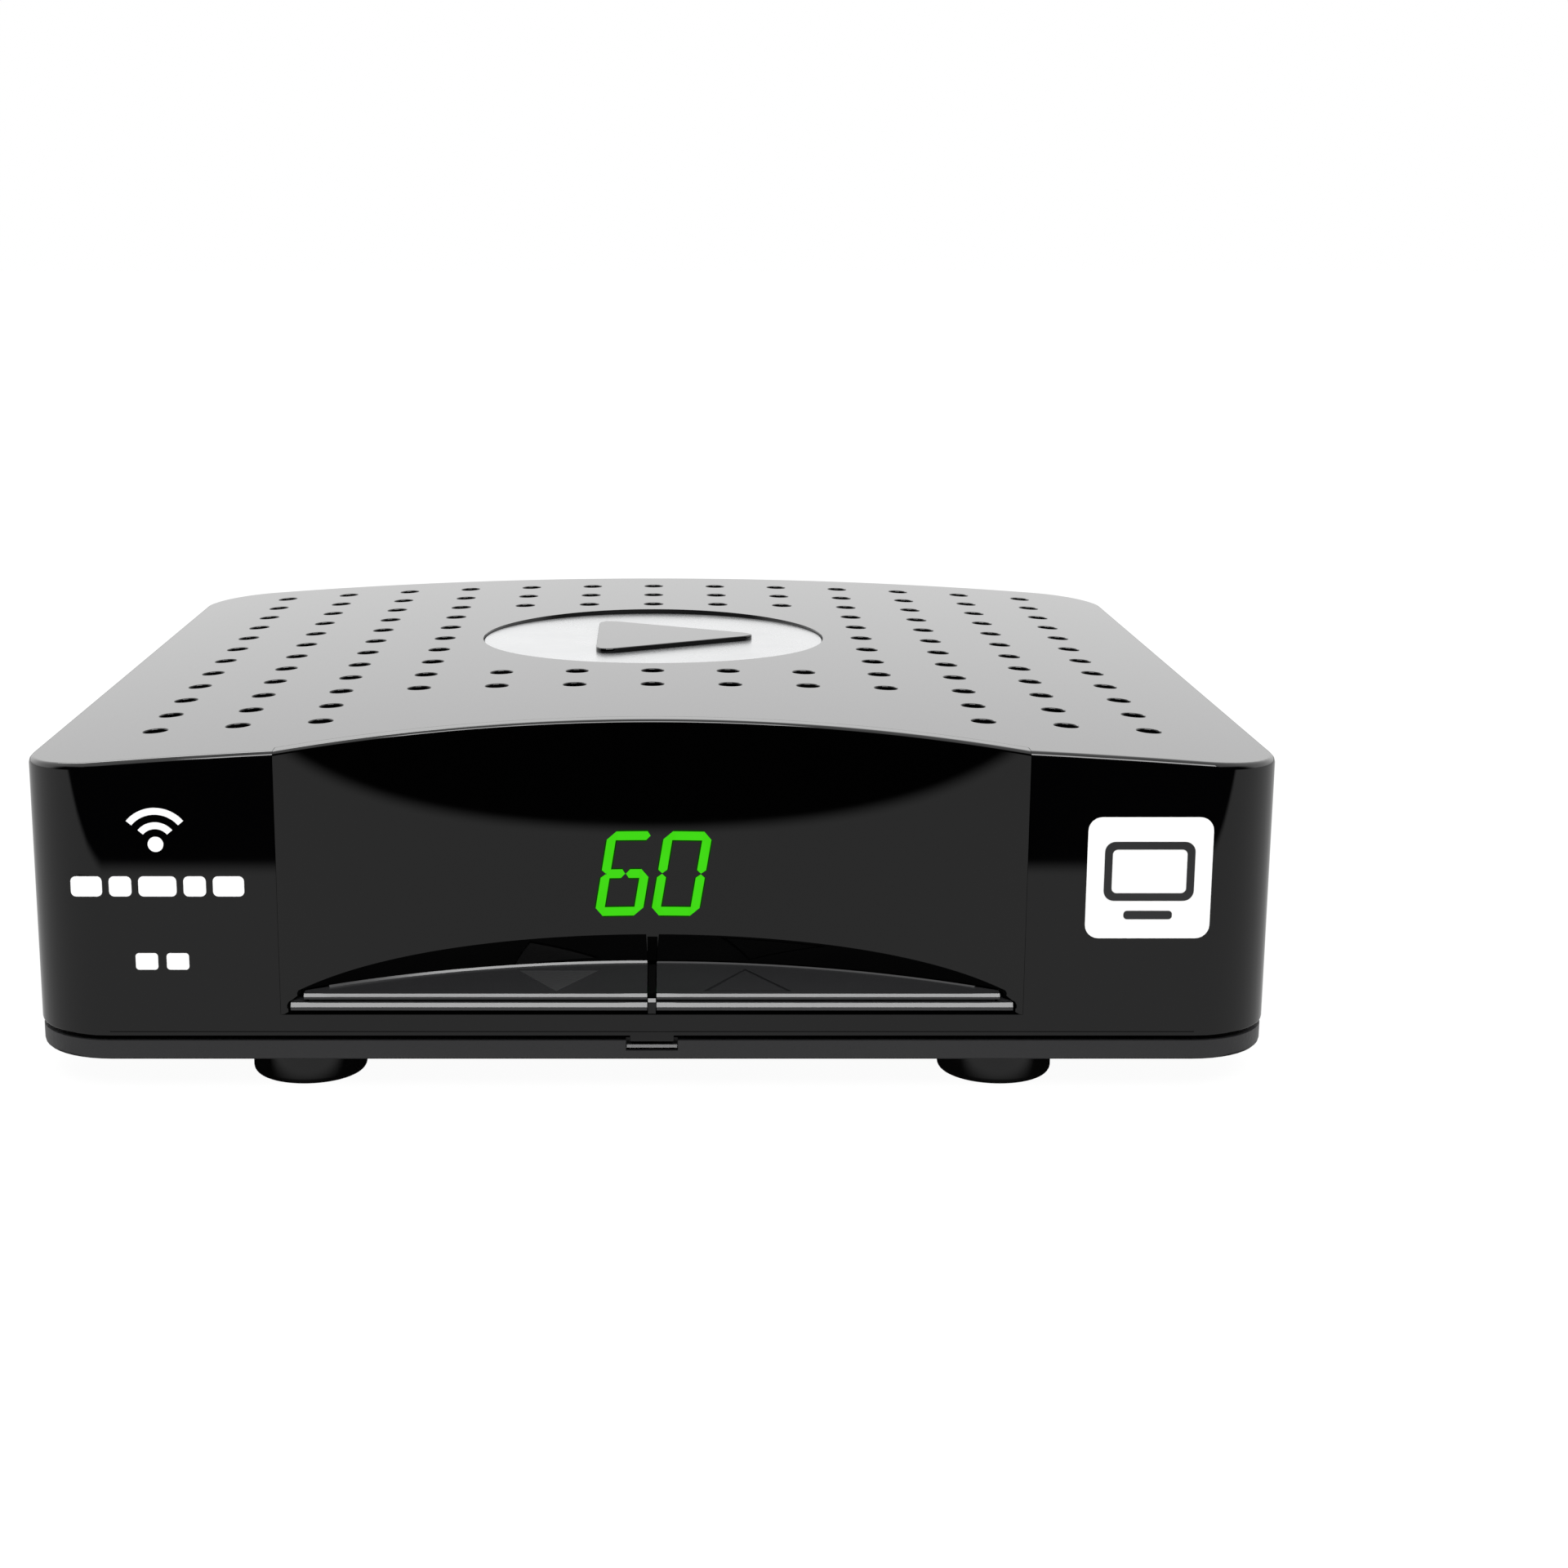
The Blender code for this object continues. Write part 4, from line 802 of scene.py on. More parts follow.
cover_bm = crown_top(plan_block(0, COVER_EDGE, APEX + WALL))
round_edges(cover_bm, top_rim(cover_bm, low=False), RIM)
round_edges(cover_bm, top_rim(cover_bm, low=True), LOWER_RIM, 2)
boss_places = [(middle(node).x, middle(node).y) for node in SCREW_NODES]
opening_low, opening_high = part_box("rear_panel")
opening = block(
    (opening_low.x + WALL, BACK - 3 * WALL, 10.5 * MM),
    (opening_high.x - WALL, BACK + WALL, opening_high.z - WALL),
    edge=0.5 * MM,
)
cover_bm = combine(
    cover_bm,
    [
        ("DIFFERENCE", crown_top(plan_block(WALL, -WALL, APEX), WALL)),
        ("UNION", cylinder(boss_places, 3.3 * MM, 6.3 * MM, crown_at(HALF_WIDTH) - WALL / 2)),
        ("DIFFERENCE", cylinder(boss_places, 1.5 * MM, 0, 17 * MM, sides=24)),
        ("DIFFERENCE", scoop_cutter(WALL + SEAM, BAR_TOP)),
        ("DIFFERENCE", vent_cutters()),
        (
            "DIFFERENCE",
            cylinder([(0, EMBLEM_Y)], EMBLEM_RADIUS + SEAM, EMBLEM_FLOOR - SEAM, APEX + WALL, sides=128),
        ),
        ("DIFFERENCE", opening),
        (
            "DIFFERENCE",
            block((-GROOVE_HALF, FRONT - MM, GROOVE_LOW), (GROOVE_HALF, FRONT + 0.12 * MM, GROOVE_HIGH)),
        ),
        (
            "UNION",
            block(
                (-TAB_HALF, FRONT + 0.1 * MM, TAB_LOW),
                (TAB_HALF, FRONT + WALL / 2, COVER_EDGE + WALL / 2),
                edge=0.2 * MM,
            ),
        ),
    ],
)
cover = piece(cover_bm, "cover", COVER_BLACK, ["top_cover"], even=False)

# %% [markdown]
# A mirror finish shows the smallest fault in shading, and the cuts leave long thin faces. So
# the normals are not left to averaging. The skin's shape is known exactly: walls, rounded
# rims, crown and vents each have a rule that gives the true normal at any point. A face takes
# the first rule that agrees with its own direction. Zero vectors leave the others averaged.

# %% True normals
ON_WALL = 0.025 * MM  # a point this near the wall counts as on it


def rolled_normal(co, side, inset, rim):
    """The normal on a rim that rolls from a wall, facing side, over to the crown."""
    wall_share = 1.0 if inset < ON_WALL else max(0.0, 1 - inset / rim)
    crown = Vector((co.x / CROWN_RADIUS, 0, 1)).normalized()
    return Vector((*side, 0)) * wall_share + crown * math.sqrt(1 - wall_share**2)


def case_normal(co):
    """The true normal of the cover's skin at a point on it."""
    middle_y = (FRONT + BACK) / 2
    reach_x, reach_y = HALF_WIDTH - CORNER, (BACK - FRONT) / 2 - CORNER
    inner_x = max(-reach_x, min(reach_x, co.x))
    inner_y = middle_y + max(-reach_y, min(reach_y, co.y - middle_y))
    across = co.xy - Vector((inner_x, inner_y))
    side = across.normalized()
    if co.z > APEX / 2:
        return rolled_normal(co, side, CORNER - across.length, RIM)
    lower = rolled_normal(Vector(), side, CORNER - across.length, LOWER_RIM)
    return Vector((lower.x, lower.y, -lower.z))


def vent_normal(co):
    """The true normal of a vent's wall and trumpet rim, or None away from the vents."""
    column = round(co.x / VENT_PITCH) * VENT_PITCH
    row = FIRST_ROW + round((co.y - FIRST_ROW) / VENT_PITCH) * VENT_PITCH
    inwards = Vector((column, row)) - co.xy
    spread = inwards.length - VENT_RADIUS
    if spread > VENT_RIM * 1.1 or co.z < crown_at(co.x, 1.2 * WALL):
        return None
    return rolled_normal(co, inwards.normalized(), spread, VENT_RIM)


AGREES = 0.92  # least cosine between a rule's normal and the face's own


def true_normals(target, *rules):
    mesh = target.data
    normals = [Vector()] * len(mesh.loops)
    for face in mesh.polygons:
        for rule in rules:
            exact = rule(face.center)
            if exact and exact.dot(face.normal) > AGREES:
                for loop, index in zip(face.loop_indices, face.vertices):
                    corner = rule(mesh.vertices[index].co) or exact
                    normals[loop] = corner if corner.dot(face.normal) > AGREES else exact
                break
    mesh.normals_split_custom_set(normals)
    print(target.name, "corners with true normals:", sum(1 for n in normals if n.length))


true_normals(cover, case_normal, vent_normal)

# %% [markdown]
# ## Window
# The smoked window is a slice of tube, 2 mm thick, standing on the keys and cut off to the
# crown at the top. A rectangle is spun about the scoop's axis, the ends are trimmed flat where
# they meet the wings, and its front top edge is rounded like the cover's rim.

# %% Window
def tube_slice(low, high, thickness, half, steps=96):
    """A wall that follows the scoop between two heights, trimmed at plus and minus half."""
    bm = bmesh.new()
    near, far = SCOOP_RADIUS, SCOOP_RADIUS + thickness
    corners = [(near, low), (far, low), (far, high), (near, high)]
    ring = [bm.verts.new((0, SCOOP_AXIS + radius, z)) for radius, z in corners]
    edges = [bm.edges.new((ring[i], ring[(i + 1) % 4])) for i in range(4)]
    swing = math.asin(half / near) * 1.05
    centre = (0, SCOOP_AXIS, 0)
    bmesh.ops.rotate(
        bm, verts=ring, cent=centre, matrix=Matrix.Rotation(swing, 3, "Z")
    )
    bmesh.ops.spin(
        bm, geom=ring + edges, cent=centre, axis=(0, 0, 1), angle=-2 * swing, steps=steps
    )
    for side in (-1, 1):
        bmesh.ops.bisect_plane(
            bm,
            geom=everything(bm),
            plane_co=(side * half, 0, 0),
            plane_no=(side, 0, 0),
            clear_outer=True,
        )
    close_holes(bm)
    return bm


WINDOW_RIM = 0.5 * MM
WINDOW_FOOT = BAR_TOP + SEAM
KEY_SLOT = [(42.45, 8.0), (42.45, 10.9), (41.0, 11.9), (41.0, WINDOW_LOW.z / MM)]


def upright_prism(outline, start, end):
    """A prism along Y from an outline of (x, z) points."""
    bm = bmesh.new()
    bm.faces.new([bm.verts.new((x, start, z)) for x, z in outline])
    raise_faces(bm, end - start, (0, 1, 0))
    return bm


window_bm = tube_slice(WINDOW_FOOT, APEX, WALL, SCOOP_HALF + SEAM * 4)
for v in window_bm.verts:
    if v.co.z > APEX - 1e-6:
        v.co.z = crown_at(v.co.x)
bmesh.ops.recalc_face_normals(window_bm, faces=window_bm.faces)
front_rim = [
    e
    for e in sharp_edges(window_bm)
    if all(abs((v.co.xy - Vector((0, SCOOP_AXIS))).length - SCOOP_RADIUS) < 0.05 * MM for v in e.verts)
    and all(v.co.z > 30 * MM for v in e.verts)
    and abs(e.verts[0].co.x - e.verts[1].co.x) > 0.2 * MM
]
round_edges(window_bm, front_rim, WINDOW_RIM)
slot_outline = [(x * MM, z * MM) for x, z in KEY_SLOT]
slot_outline += [(-x, z) for x, z in reversed(slot_outline)]
window_bm = combine(
    window_bm, [("DIFFERENCE", upright_prism(slot_outline, FRONT - WALL, FRONT + 20 * MM))]
)
window = piece(window_bm, "window", WINDOW_BLACK, ["display_window"], even=False)


def window_normal(co):
    """The true normal of the window's curved front and its rolled upper rim."""
    towards_axis = Vector((0, SCOOP_AXIS)) - co.xy
    inset = towards_axis.length - SCOOP_RADIUS
    return rolled_normal(co, towards_axis.normalized(), inset, WINDOW_RIM)


true_normals(window, window_normal)

# %% [markdown]
# ## Display digits
# A diode display draws a digit with short bars whose ends are mitred, joined by chamfered
# corners. The bars are flat outlines on a small grid, so a digit is only a list of which bars
# and corners are lit. They lean like all such displays, and are bent to the window's curve,
# which shows them as if they lay on its surface.

# %% Digits
DIGIT_WIDTH = 4.68 * MM  # between the middles of the upright bars
DIGIT_HEIGHT = 9.4 * MM  # between the middles of the top and bottom bars
STROKE = 1.08 * MM
LEAN = math.tan(math.radians(9.3))
DIGIT_MIDDLE = APEX - 18.9 * MM
HALO = 0.34 * MM  # how much wider the halo's bars are
BAR_GAP = 0.02  # where the middle bar is parted, in half widths from the middle


def bar_outline(start, end, tip_start, tip_end, stroke):
    """A bar between two points, square or pointed at each end."""
    start, end = Vector(start), Vector(end)
    along = (end - start).normalized()
    across = Vector((-along.y, along.x)) * stroke / 2
    inset_start = along * (STROKE * 0.4 if tip_start else 0)
    inset_end = along * (STROKE * 0.4 if tip_end else 0)
    points = [start + inset_start - across, end - inset_end - across]
    if tip_end:
        points.append(end)
    points += [end - inset_end + across, start + inset_start + across]
    if tip_start:
        points.append(start)
    return points


def corner_outline(centre, outward, stroke):
    """A joint of two bars: a square whose outer corner is cut off."""
    x, y = centre
    half, cut = stroke / 2, stroke * 0.92
    ox, oy = outward
    return [
        Vector((x - ox * half, y - oy * half)),
        Vector((x + ox * half, y - oy * half)),
        Vector((x + ox * half, y + oy * (half - cut))),
        Vector((x + ox * (half - cut), y + oy * half)),
        Vector((x - ox * half, y + oy * half)),
    ]


def digit_outlines(lit, stroke):
    """Outlines for the lit bars: top, middle, bottom, and the four uprights."""
    w, h, s = DIGIT_WIDTH / 2, DIGIT_HEIGHT / 2, stroke / 2
    gap = BAR_GAP * w
    ends = {
        "top": ((-w, h), (w, h)),
        "middle_left": ((-w, 0), (gap, 0)),
        "middle_right": ((gap, 0), (w, 0)),
        "bottom": ((-w, -h), (w, -h)),
        "upper_left": ((-w, h), (-w, 0)),
        "upper_right": ((w, h), (w, 0)),
        "lower_left": ((-w, -h), (-w, 0)),
        "lower_right": ((w, -h), (w, 0)),
    }
    joints = {
        (-w, h): (("top", "upper_left"), (-1, 1)),
        (w, h): (("top", "upper_right"), (1, 1)),
        (-w, -h): (("bottom", "lower_left"), (-1, -1)),
        (w, -h): (("bottom", "lower_right"), (1, -1)),
    }
    if "upper_right" not in lit:
        joints[(w, 0)] = (("middle_right", "lower_right"), (1, 1))
    outlines, joined = [], set()
    for centre, (bars, outward) in joints.items():
        if set(bars) <= set(lit):
            outlines.append(corner_outline(centre, outward, stroke))
            joined.add(centre)
    for name in lit:
        start, end = (Vector(point) for point in ends[name])
        along = (end - start).normalized()
        tips = []
        for point, sign in ((start, 1), (end, -1)):
            at_joint = tuple(point) in joined or any((point - Vector(j)).length < 1e-6 for j in joined)
            tips.append(not at_joint)
            if at_joint:
                point += along * s * sign
            else:
                point += along * 0.04 * MM * sign
        outlines.append(bar_outline(start, end, *tips, stroke))
    return outlines


LIT = {
    "six": ("top", "upper_left", "middle_left", "middle_right", "lower_left", "lower_right", "bottom"),
    "zero": ("top", "upper_left", "upper_right", "lower_left", "lower_right", "bottom"),
}


def digits(name, material, stroke, proud):
    """Both digits as a film on the window's curve, standing out of it by this much."""
    bm = bmesh.new()
    for shape, centre_x in (("six", -3.25 * MM), ("zero", 3.55 * MM)):
        for outline in digit_outlines(LIT[shape], stroke):
            corners = []
            for point in outline:
                x = centre_x + point.x + LEAN * point.y
                corners.append(bm.verts.new((x, 0, DIGIT_MIDDLE + point.y)))
            bm.faces.new(corners)
    for step in range(-7, 8):
        bmesh.ops.bisect_plane(
            bm, geom=everything(bm), plane_co=(step * MM, 0, 0), plane_no=(1, 0, 0)
        )
    bmesh.ops.recalc_face_normals(bm, faces=bm.faces)
    made = bmesh.ops.extrude_face_region(bm, geom=bm.faces[:])
    raised = [item for item in made["geom"] if isinstance(item, bmesh.types.BMVert)]
    for v in bm.verts:
        v.co.y = scoop_at(v.co.x) + proud
    for v in raised:
        v.co.y -= 2 * proud
    close_holes(bm)
    return piece(bm, name, material)


digits("digits", LIT_GREEN, STROKE, 0.04 * MM)
digits("digits_halo", HALO_GREEN, STROKE + HALO, 0.015 * MM)

# %% [markdown]
# ## Channel keys
# Each key is a thin ledge. Seen from the front it has two lips with a groove between them,
# the lower one a little longer. The upper half of each front leans back, so that it faces the
# lamp above and draws a thin bright line. Three thin plates make this shape: two lips, and a core set back
# between them. A small upstand at the back of the ledge closes the gap under the window and
# catches a line of light too.

# %% Key plates
KEY_SPLIT = 0.55 * MM
KEY_TUCK = 3 * MM
LEAN_BACK = math.tan(math.radians(29))
UPSTAND_RISE = {-1: 0.26 * MM, 1: 0.16 * MM}  # channel down, channel up
UPRIGHT_SHARE = 0.45  # the lower part of a lip's front that stands upright
LIPS = {  # low, high, outer end, set back from the front, how far its front leans back
    "lower_lip": (KEY_LOW.z, KEY_LOW.z + 0.92 * MM, 42.1 * MM, 0.0, LEAN_BACK),
    "core": (KEY_LOW.z + 0.2 * MM, KEY_HIGH.z - 0.2 * MM, 40.1 * MM, 0.9 * MM, 0.0),
    "upper_lip": (KEY_LOW.z + 1.2 * MM, KEY_HIGH.z, 40.6 * MM, 0.45 * MM, LEAN_BACK),
}


def ledge(side, low, high, outer, set_back, lean):
    """A plate from the split to its outer end, from the front back to behind the window."""
    bm = bmesh.new()
    bmesh.ops.create_grid(bm, x_segments=24, y_segments=1, size=0.5)
    radius = SCOOP_RADIUS + KEY_TUCK
    for v in bm.verts:
        x = KEY_SPLIT + (v.co.x + 0.5) * (outer - KEY_SPLIT)
        at_back = v.co.y > 0
        y = SCOOP_AXIS + math.sqrt(radius**2 - x * x) if at_back else FRONT + set_back
        v.co = Vector((side * x, y, low))
    raise_faces(bm, high - low)
    step = low + (high - low) * UPRIGHT_SHARE
    if lean:
        bmesh.ops.bisect_plane(bm, geom=everything(bm), plane_co=(0, 0, step), plane_no=(0, 0, 1))
    front = [v for v in bm.verts if abs(v.co.y - FRONT - set_back) < 1e-6]
    for v in front:
        if v.co.z > high - 1e-6:
            v.co.y += (high - step) * lean
    rim = [
        e
        for e in sharp_edges(bm, 40)
        if all(v in front for v in e.verts) and abs(e.verts[0].co.z - e.verts[1].co.z) < 1e-6
    ]
    round_edges(bm, rim, 0.1 * MM, 2)
    return bm


def upstand(side):
    """The thin rising edge at the back of a ledge, just in front of the window."""
    rise, run, gap = UPSTAND_RISE[side], 0.16 * MM, 0.04 * MM
    near, far = SCOOP_RADIUS - gap - run, SCOOP_RADIUS - gap
    low, high = KEY_HIGH.z - 0.1 * MM, KEY_HIGH.z + rise
    bm = bmesh.new()
    corners = [(near, low), (far, low), (far, high), (near, KEY_HIGH.z)]
    ring = [bm.verts.new((0, SCOOP_AXIS + radius, z)) for radius, z in corners]
    edges = [bm.edges.new((ring[i], ring[(i + 1) % 4])) for i in range(4)]
    centre = (0, SCOOP_AXIS, 0)
    start = math.asin((KEY_SPLIT + 0.05 * MM) / SCOOP_RADIUS)
    swing = math.asin(38 * MM / SCOOP_RADIUS) - start
    bmesh.ops.rotate(bm, verts=ring, cent=centre, matrix=Matrix.Rotation(-side * start, 3, "Z"))
    bmesh.ops.spin(
        bm, geom=ring + edges, cent=centre, axis=(0, 0, 1), angle=-side * swing, steps=48
    )
    close_holes(bm)
    return bm


# %% [markdown]
# A triangle is sunk into each ledge, pointing forwards for channel down and backwards for
# channel up. A separate plate fills it. The left one is low and has a matt, lighter face, as
# if it were textured in the mould. The right one is level with the ledge, so that only its
# outline shows, as a fine groove.

# %% Keys
MARK_HALF = 5.2 * MM
MARK_X = 11.2 * MM
MARK_FRONT, MARK_BACK = FRONT + 1.5 * MM, FRONT + 10.6 * MM
MARK_DEPTH = 0.3 * MM
MARK_PLATES = {  # top, distance from the recess's edge, finish
    -1: (KEY_HIGH.z - MARK_DEPTH + 0.08 * MM, 0.05 * MM, MARK_GREY),
    1: (KEY_HIGH.z - 0.02 * MM, 0.35 * MM, KEY_BLACK),
}


def mark(side, low, high, inset=0.0):
    """A triangle on a ledge: it points forwards on the left and backwards on the right."""
    bm = bmesh.new()
    slope = 2 * inset
    base, point = (MARK_BACK, MARK_FRONT) if side < 0 else (MARK_FRONT, MARK_BACK)
    towards = 1 if point > base else -1
    x = side * MARK_X
    corners = [
        (x - MARK_HALF + slope, base + towards * inset),
        (x + MARK_HALF - slope, base + towards * inset),
        (x, point - towards * slope),
    ]
    bm.faces.new([bm.verts.new((px, py, low)) for px, py in corners])
    raise_faces(bm, high - low)
    return bm


for side, name in ((-1, "channel_down"), (1, "channel_up")):
    node = name + "_key"
    low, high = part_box(node)
    plates = {part: ledge(side, *shape) for part, shape in LIPS.items()}
    stem = block(
        (side * 11 * MM - 3 * MM, FRONT + 8 * MM, KEY_LOW.z + 0.1 * MM),
        (side * 11 * MM + 3 * MM, high.y, KEY_HIGH.z - 0.1 * MM),
    )
    sunk = KEY_HIGH.z - MARK_DEPTH
    key_bm = combine(
        plates["core"],
        [
            ("UNION", plates["lower_lip"]),
            ("UNION", plates["upper_lip"]),
            ("UNION", stem),
            ("UNION", upstand(side)),
            ("DIFFERENCE", mark(side, sunk, KEY_HIGH.z + MM)),
        ],
    )
    piece(key_bm, name, KEY_BLACK, [node], body=node, crease=25.0)
    level, inset, face = MARK_PLATES[side]
    plate_bm = mark(side, sunk - 0.05 * MM, level, inset)
    piece(plate_bm, name + "_mark", face, body=node)

# %% [markdown]
# A fixed rib of the case stands between the two keys and keeps them apart. Its front is the
# bar's own gloss with a leaning tip, which catches a point of light. Behind the tip is a black
# block that reflects almost nothing. It is painted shade that fills the split, so that the split reads as a
# dark line.

# %% Rib between the keys
RIB_HALF = KEY_SPLIT - 0.1 * MM
RIB_LOW = BAR_TOP - 0.5 * MM
RIB_SHOULDER, RIB_TOP = KEY_LOW.z + 0.95 * MM, KEY_LOW.z + 1.35 * MM
RIB_TIP_BACK = FRONT + 1.2 * MM
rib_bm = bmesh.new()
rib_outline = [
    (FRONT + 0.2 * MM, RIB_LOW),
    (FRONT + 0.2 * MM, RIB_SHOULDER),
    (FRONT + 0.42 * MM, RIB_TOP),
    (RIB_TIP_BACK, RIB_TOP),
    (RIB_TIP_BACK, RIB_LOW),
]
rib_bm.faces.new([rib_bm.verts.new((-RIB_HALF, y, z)) for y, z in rib_outline])
raise_faces(rib_bm, 2 * RIB_HALF, (1, 0, 0))
piece(rib_bm, "key_rib_tip", COVER_BLACK, crease=20.0)
# The block behind the tip is painted shade. It fills the split between the keys with black.
split_shade_bm = block(
    (-RIB_HALF, RIB_TIP_BACK + 0.05 * MM, RIB_LOW),
    (RIB_HALF, FRONT + SCOOP_DEPTH - 0.3 * MM, KEY_HIGH.z - 0.15 * MM),
    edge=0.05 * MM,
)
piece(split_shade_bm, "key_split_shade", PAINTED_SPLIT_SHADE)

# %% [markdown]
# ## Emblem
# A round silver inlay lies in a recess of the top. It carries a plain raised triangle with
# rounded corners, of no maker's design. The disc is turned, with a bevelled rim, and the
# triangle is a bevelled three-sided plate.

# %% Emblem
PLATE_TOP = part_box("emblem_plate")[1].z
SYMBOL_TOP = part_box("emblem_symbol")[1].z
rim = 0.15 * MM
plate_profile = [
    (0, PLATE_TOP),
    (EMBLEM_RADIUS - rim, PLATE_TOP),
    (EMBLEM_RADIUS, PLATE_TOP - rim),
    (EMBLEM_RADIUS, EMBLEM_FLOOR),
    (0, EMBLEM_FLOOR),
]
plate_bm = turned(plate_profile, (0, EMBLEM_Y, 0), steps=128)
piece(plate_bm, "emblem_disc", EMBLEM_SILVER, ["emblem_plate"])

symbol_bm = bmesh.new()
bmesh.ops.create_circle(
    symbol_bm,
    cap_ends=True,
    segments=3,
    radius=16 * MM,
    matrix=Matrix.Translation((0, EMBLEM_Y, PLATE_TOP)) @ Matrix.Rotation(math.radians(30), 4, "Z"),
)
bmesh.ops.rotate(
    symbol_bm,
    verts=symbol_bm.verts,
    cent=(0, EMBLEM_Y, 0),
    matrix=Matrix.Rotation(math.radians(-120), 3, "Z"),
)
bmesh.ops.bevel(
    symbol_bm,
    geom=symbol_bm.verts[:],
    offset=3.5 * MM,
    offset_type="OFFSET",
    affect="VERTICES",
    segments=8,
    profile=0.5,
    material=-1,
)
raise_faces(symbol_bm, SYMBOL_TOP - PLATE_TOP)
round_edges(symbol_bm, top_rim(symbol_bm, low=False), 0.2 * MM)
piece(symbol_bm, "emblem_triangle", COVER_BLACK, ["emblem_symbol"])

# %% [markdown]
# ## Printed marks
# A box like this carries white print on its left wing and a small label on the right one. The
# real words are left out. In their place are plain shapes: a dot with two waves for
# reception over a row of blocks, and a label with the outline of a screen. Each is a thin film
# on the wing.

# %% Print helpers
FILM = 0.05 * MM


def film(bm, name, material, layer=0):
    """Lifts a flat shape off the wing's front by its layer, and makes it a thin film."""
    for v in bm.verts:
        v.co.y = FRONT - layer * FILM
    raise_faces(bm, FILM, (0, -1, 0))
    return piece(bm, name, material)


def round_rect(bm, centre_x, centre_z, width, height, corner):
    """Adds a rectangle with round corners, standing in the wing's plane."""
    upright = Matrix.Rotation(math.radians(90), 4, "X")
    place = Matrix.Translation((centre_x, 0, centre_z)) @ upright
    made = bmesh.ops.create_grid(
        bm, x_segments=1, y_segments=1, size=0.5, matrix=place @ Matrix.Diagonal((width, height, 1, 1))
    )
    bmesh.ops.bevel(
        bm,
        geom=made["verts"],
        offset=corner,
        offset_type="OFFSET",
        affect="VERTICES",
        segments=6,
        profile=0.5,
        material=-1,
    )


def arc_band(bm, centre_x, centre_z, radius, width, start, sweep):
    """Adds a stretch of ring in the wing's plane, by spinning a short edge."""
    angle = math.radians(start)
    ray = Vector((math.cos(angle), 0, math.sin(angle)))
    centre = Vector((centre_x, 0, centre_z))
    ends = [bm.verts.new(centre + ray * (radius + step)) for step in (-width / 2, width / 2)]
    edge = bm.edges.new(ends)
    bmesh.ops.spin(
        bm, geom=[*ends, edge], cent=centre, axis=(0, -1, 0), angle=math.radians(sweep), steps=20
    )


# %% Left wing print
MARK_CENTRE = (-57 * MM, APEX - 10.6 * MM)
dot_bm = bmesh.new()
bmesh.ops.create_circle(
    dot_bm,
    cap_ends=True,
    segments=32,
    radius=0.9 * MM,
    matrix=Matrix.Translation((MARK_CENTRE[0], 0, MARK_CENTRE[1] - 1.4 * MM))
    @ Matrix.Rotation(math.radians(90), 4, "X"),
)
for radius in (2.2 * MM, 3.9 * MM):
    arc_band(dot_bm, MARK_CENTRE[0], MARK_CENTRE[1] - 1.4 * MM, radius, 0.8 * MM, 40, 100)
film(dot_bm, "print_waves", LABEL_WHITE)

row_bm = bmesh.new()
for index, width in enumerate((3.6, 2.6, 4.4, 2.6, 3.6)):
    left = (-67.0, -62.6, -59.2, -54.0, -50.6)[index]
    round_rect(row_bm, (left + width / 2) * MM, APEX - 17.0 * MM, width * MM, 2.4 * MM, 0.6 * MM)
film(row_bm, "print_row", LABEL_WHITE)

small_bm = bmesh.new()
for x in (-58.6 * MM, -55.0 * MM):
    round_rect(small_bm, x, APEX - 26.0 * MM, 2.6 * MM, 2.0 * MM, 0.4 * MM)
film(small_bm, "print_small_row", LABEL_WHITE)

# %% Right wing label
LABEL_CENTRE = (57.3 * MM, APEX - 16.0 * MM)
label_bm = bmesh.new()
round_rect(label_bm, *LABEL_CENTRE, 14.4 * MM, 14.4 * MM, 1.6 * MM)
film(label_bm, "label", LABEL_WHITE)

outer_bm, inner_bm = bmesh.new(), bmesh.new()
round_rect(outer_bm, LABEL_CENTRE[0], LABEL_CENTRE[1] + 0.8 * MM, 10.4 * MM, 7.0 * MM, 1.2 * MM)
round_rect(inner_bm, LABEL_CENTRE[0], LABEL_CENTRE[1] + 0.8 * MM, 8.6 * MM, 5.2 * MM, 0.6 * MM)
for bm, reach in ((outer_bm, 1), (inner_bm, 3)):
    for v in bm.verts:
        v.co.y = FRONT - FILM + (reach - 1) * FILM
    raise_faces(bm, (2 * reach - 1) * FILM, (0, -1, 0))
screen_bm = combine(outer_bm, [("DIFFERENCE", inner_bm)])
piece(screen_bm, "label_screen", LABEL_INK)

foot_bm = bmesh.new()
round_rect(foot_bm, LABEL_CENTRE[0], LABEL_CENTRE[1] - 4.4 * MM, 5.6 * MM, 1.0 * MM, 0.4 * MM)
film(foot_bm, "label_stand", LABEL_INK, layer=1)

# %% [markdown]
# ## Base tray
# The tray closes the case from below. Its low outer wall carries on the cover's side below a
# dark seam, and a lip inside the cover hides the gap. The underside has a rounded rim, four
# shallow recesses for the feet and four for the screw heads. A notch at the front takes the
# cover's tab. A thin smooth catch stands across the notch and draws a line of light.

# %% Tray
TRAY_BOTTOM = TRAY_LOW.z
TRAY_RIM_TOP = 6.4 * MM
FEET = [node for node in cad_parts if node.startswith("foot_")]
foot_places = [(middle(node).x, middle(node).y) for node in FEET]
BOARD_SCREWS = [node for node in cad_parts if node.startswith("board_screw")]
standoffs = [(middle(node).x, middle(node).y) for node in BOARD_SCREWS]

NOTCH_HALF = 3.05 * MM
NOTCH_FLOOR = 5.15 * MM
NOTCH_DEPTH = 1.3 * MM

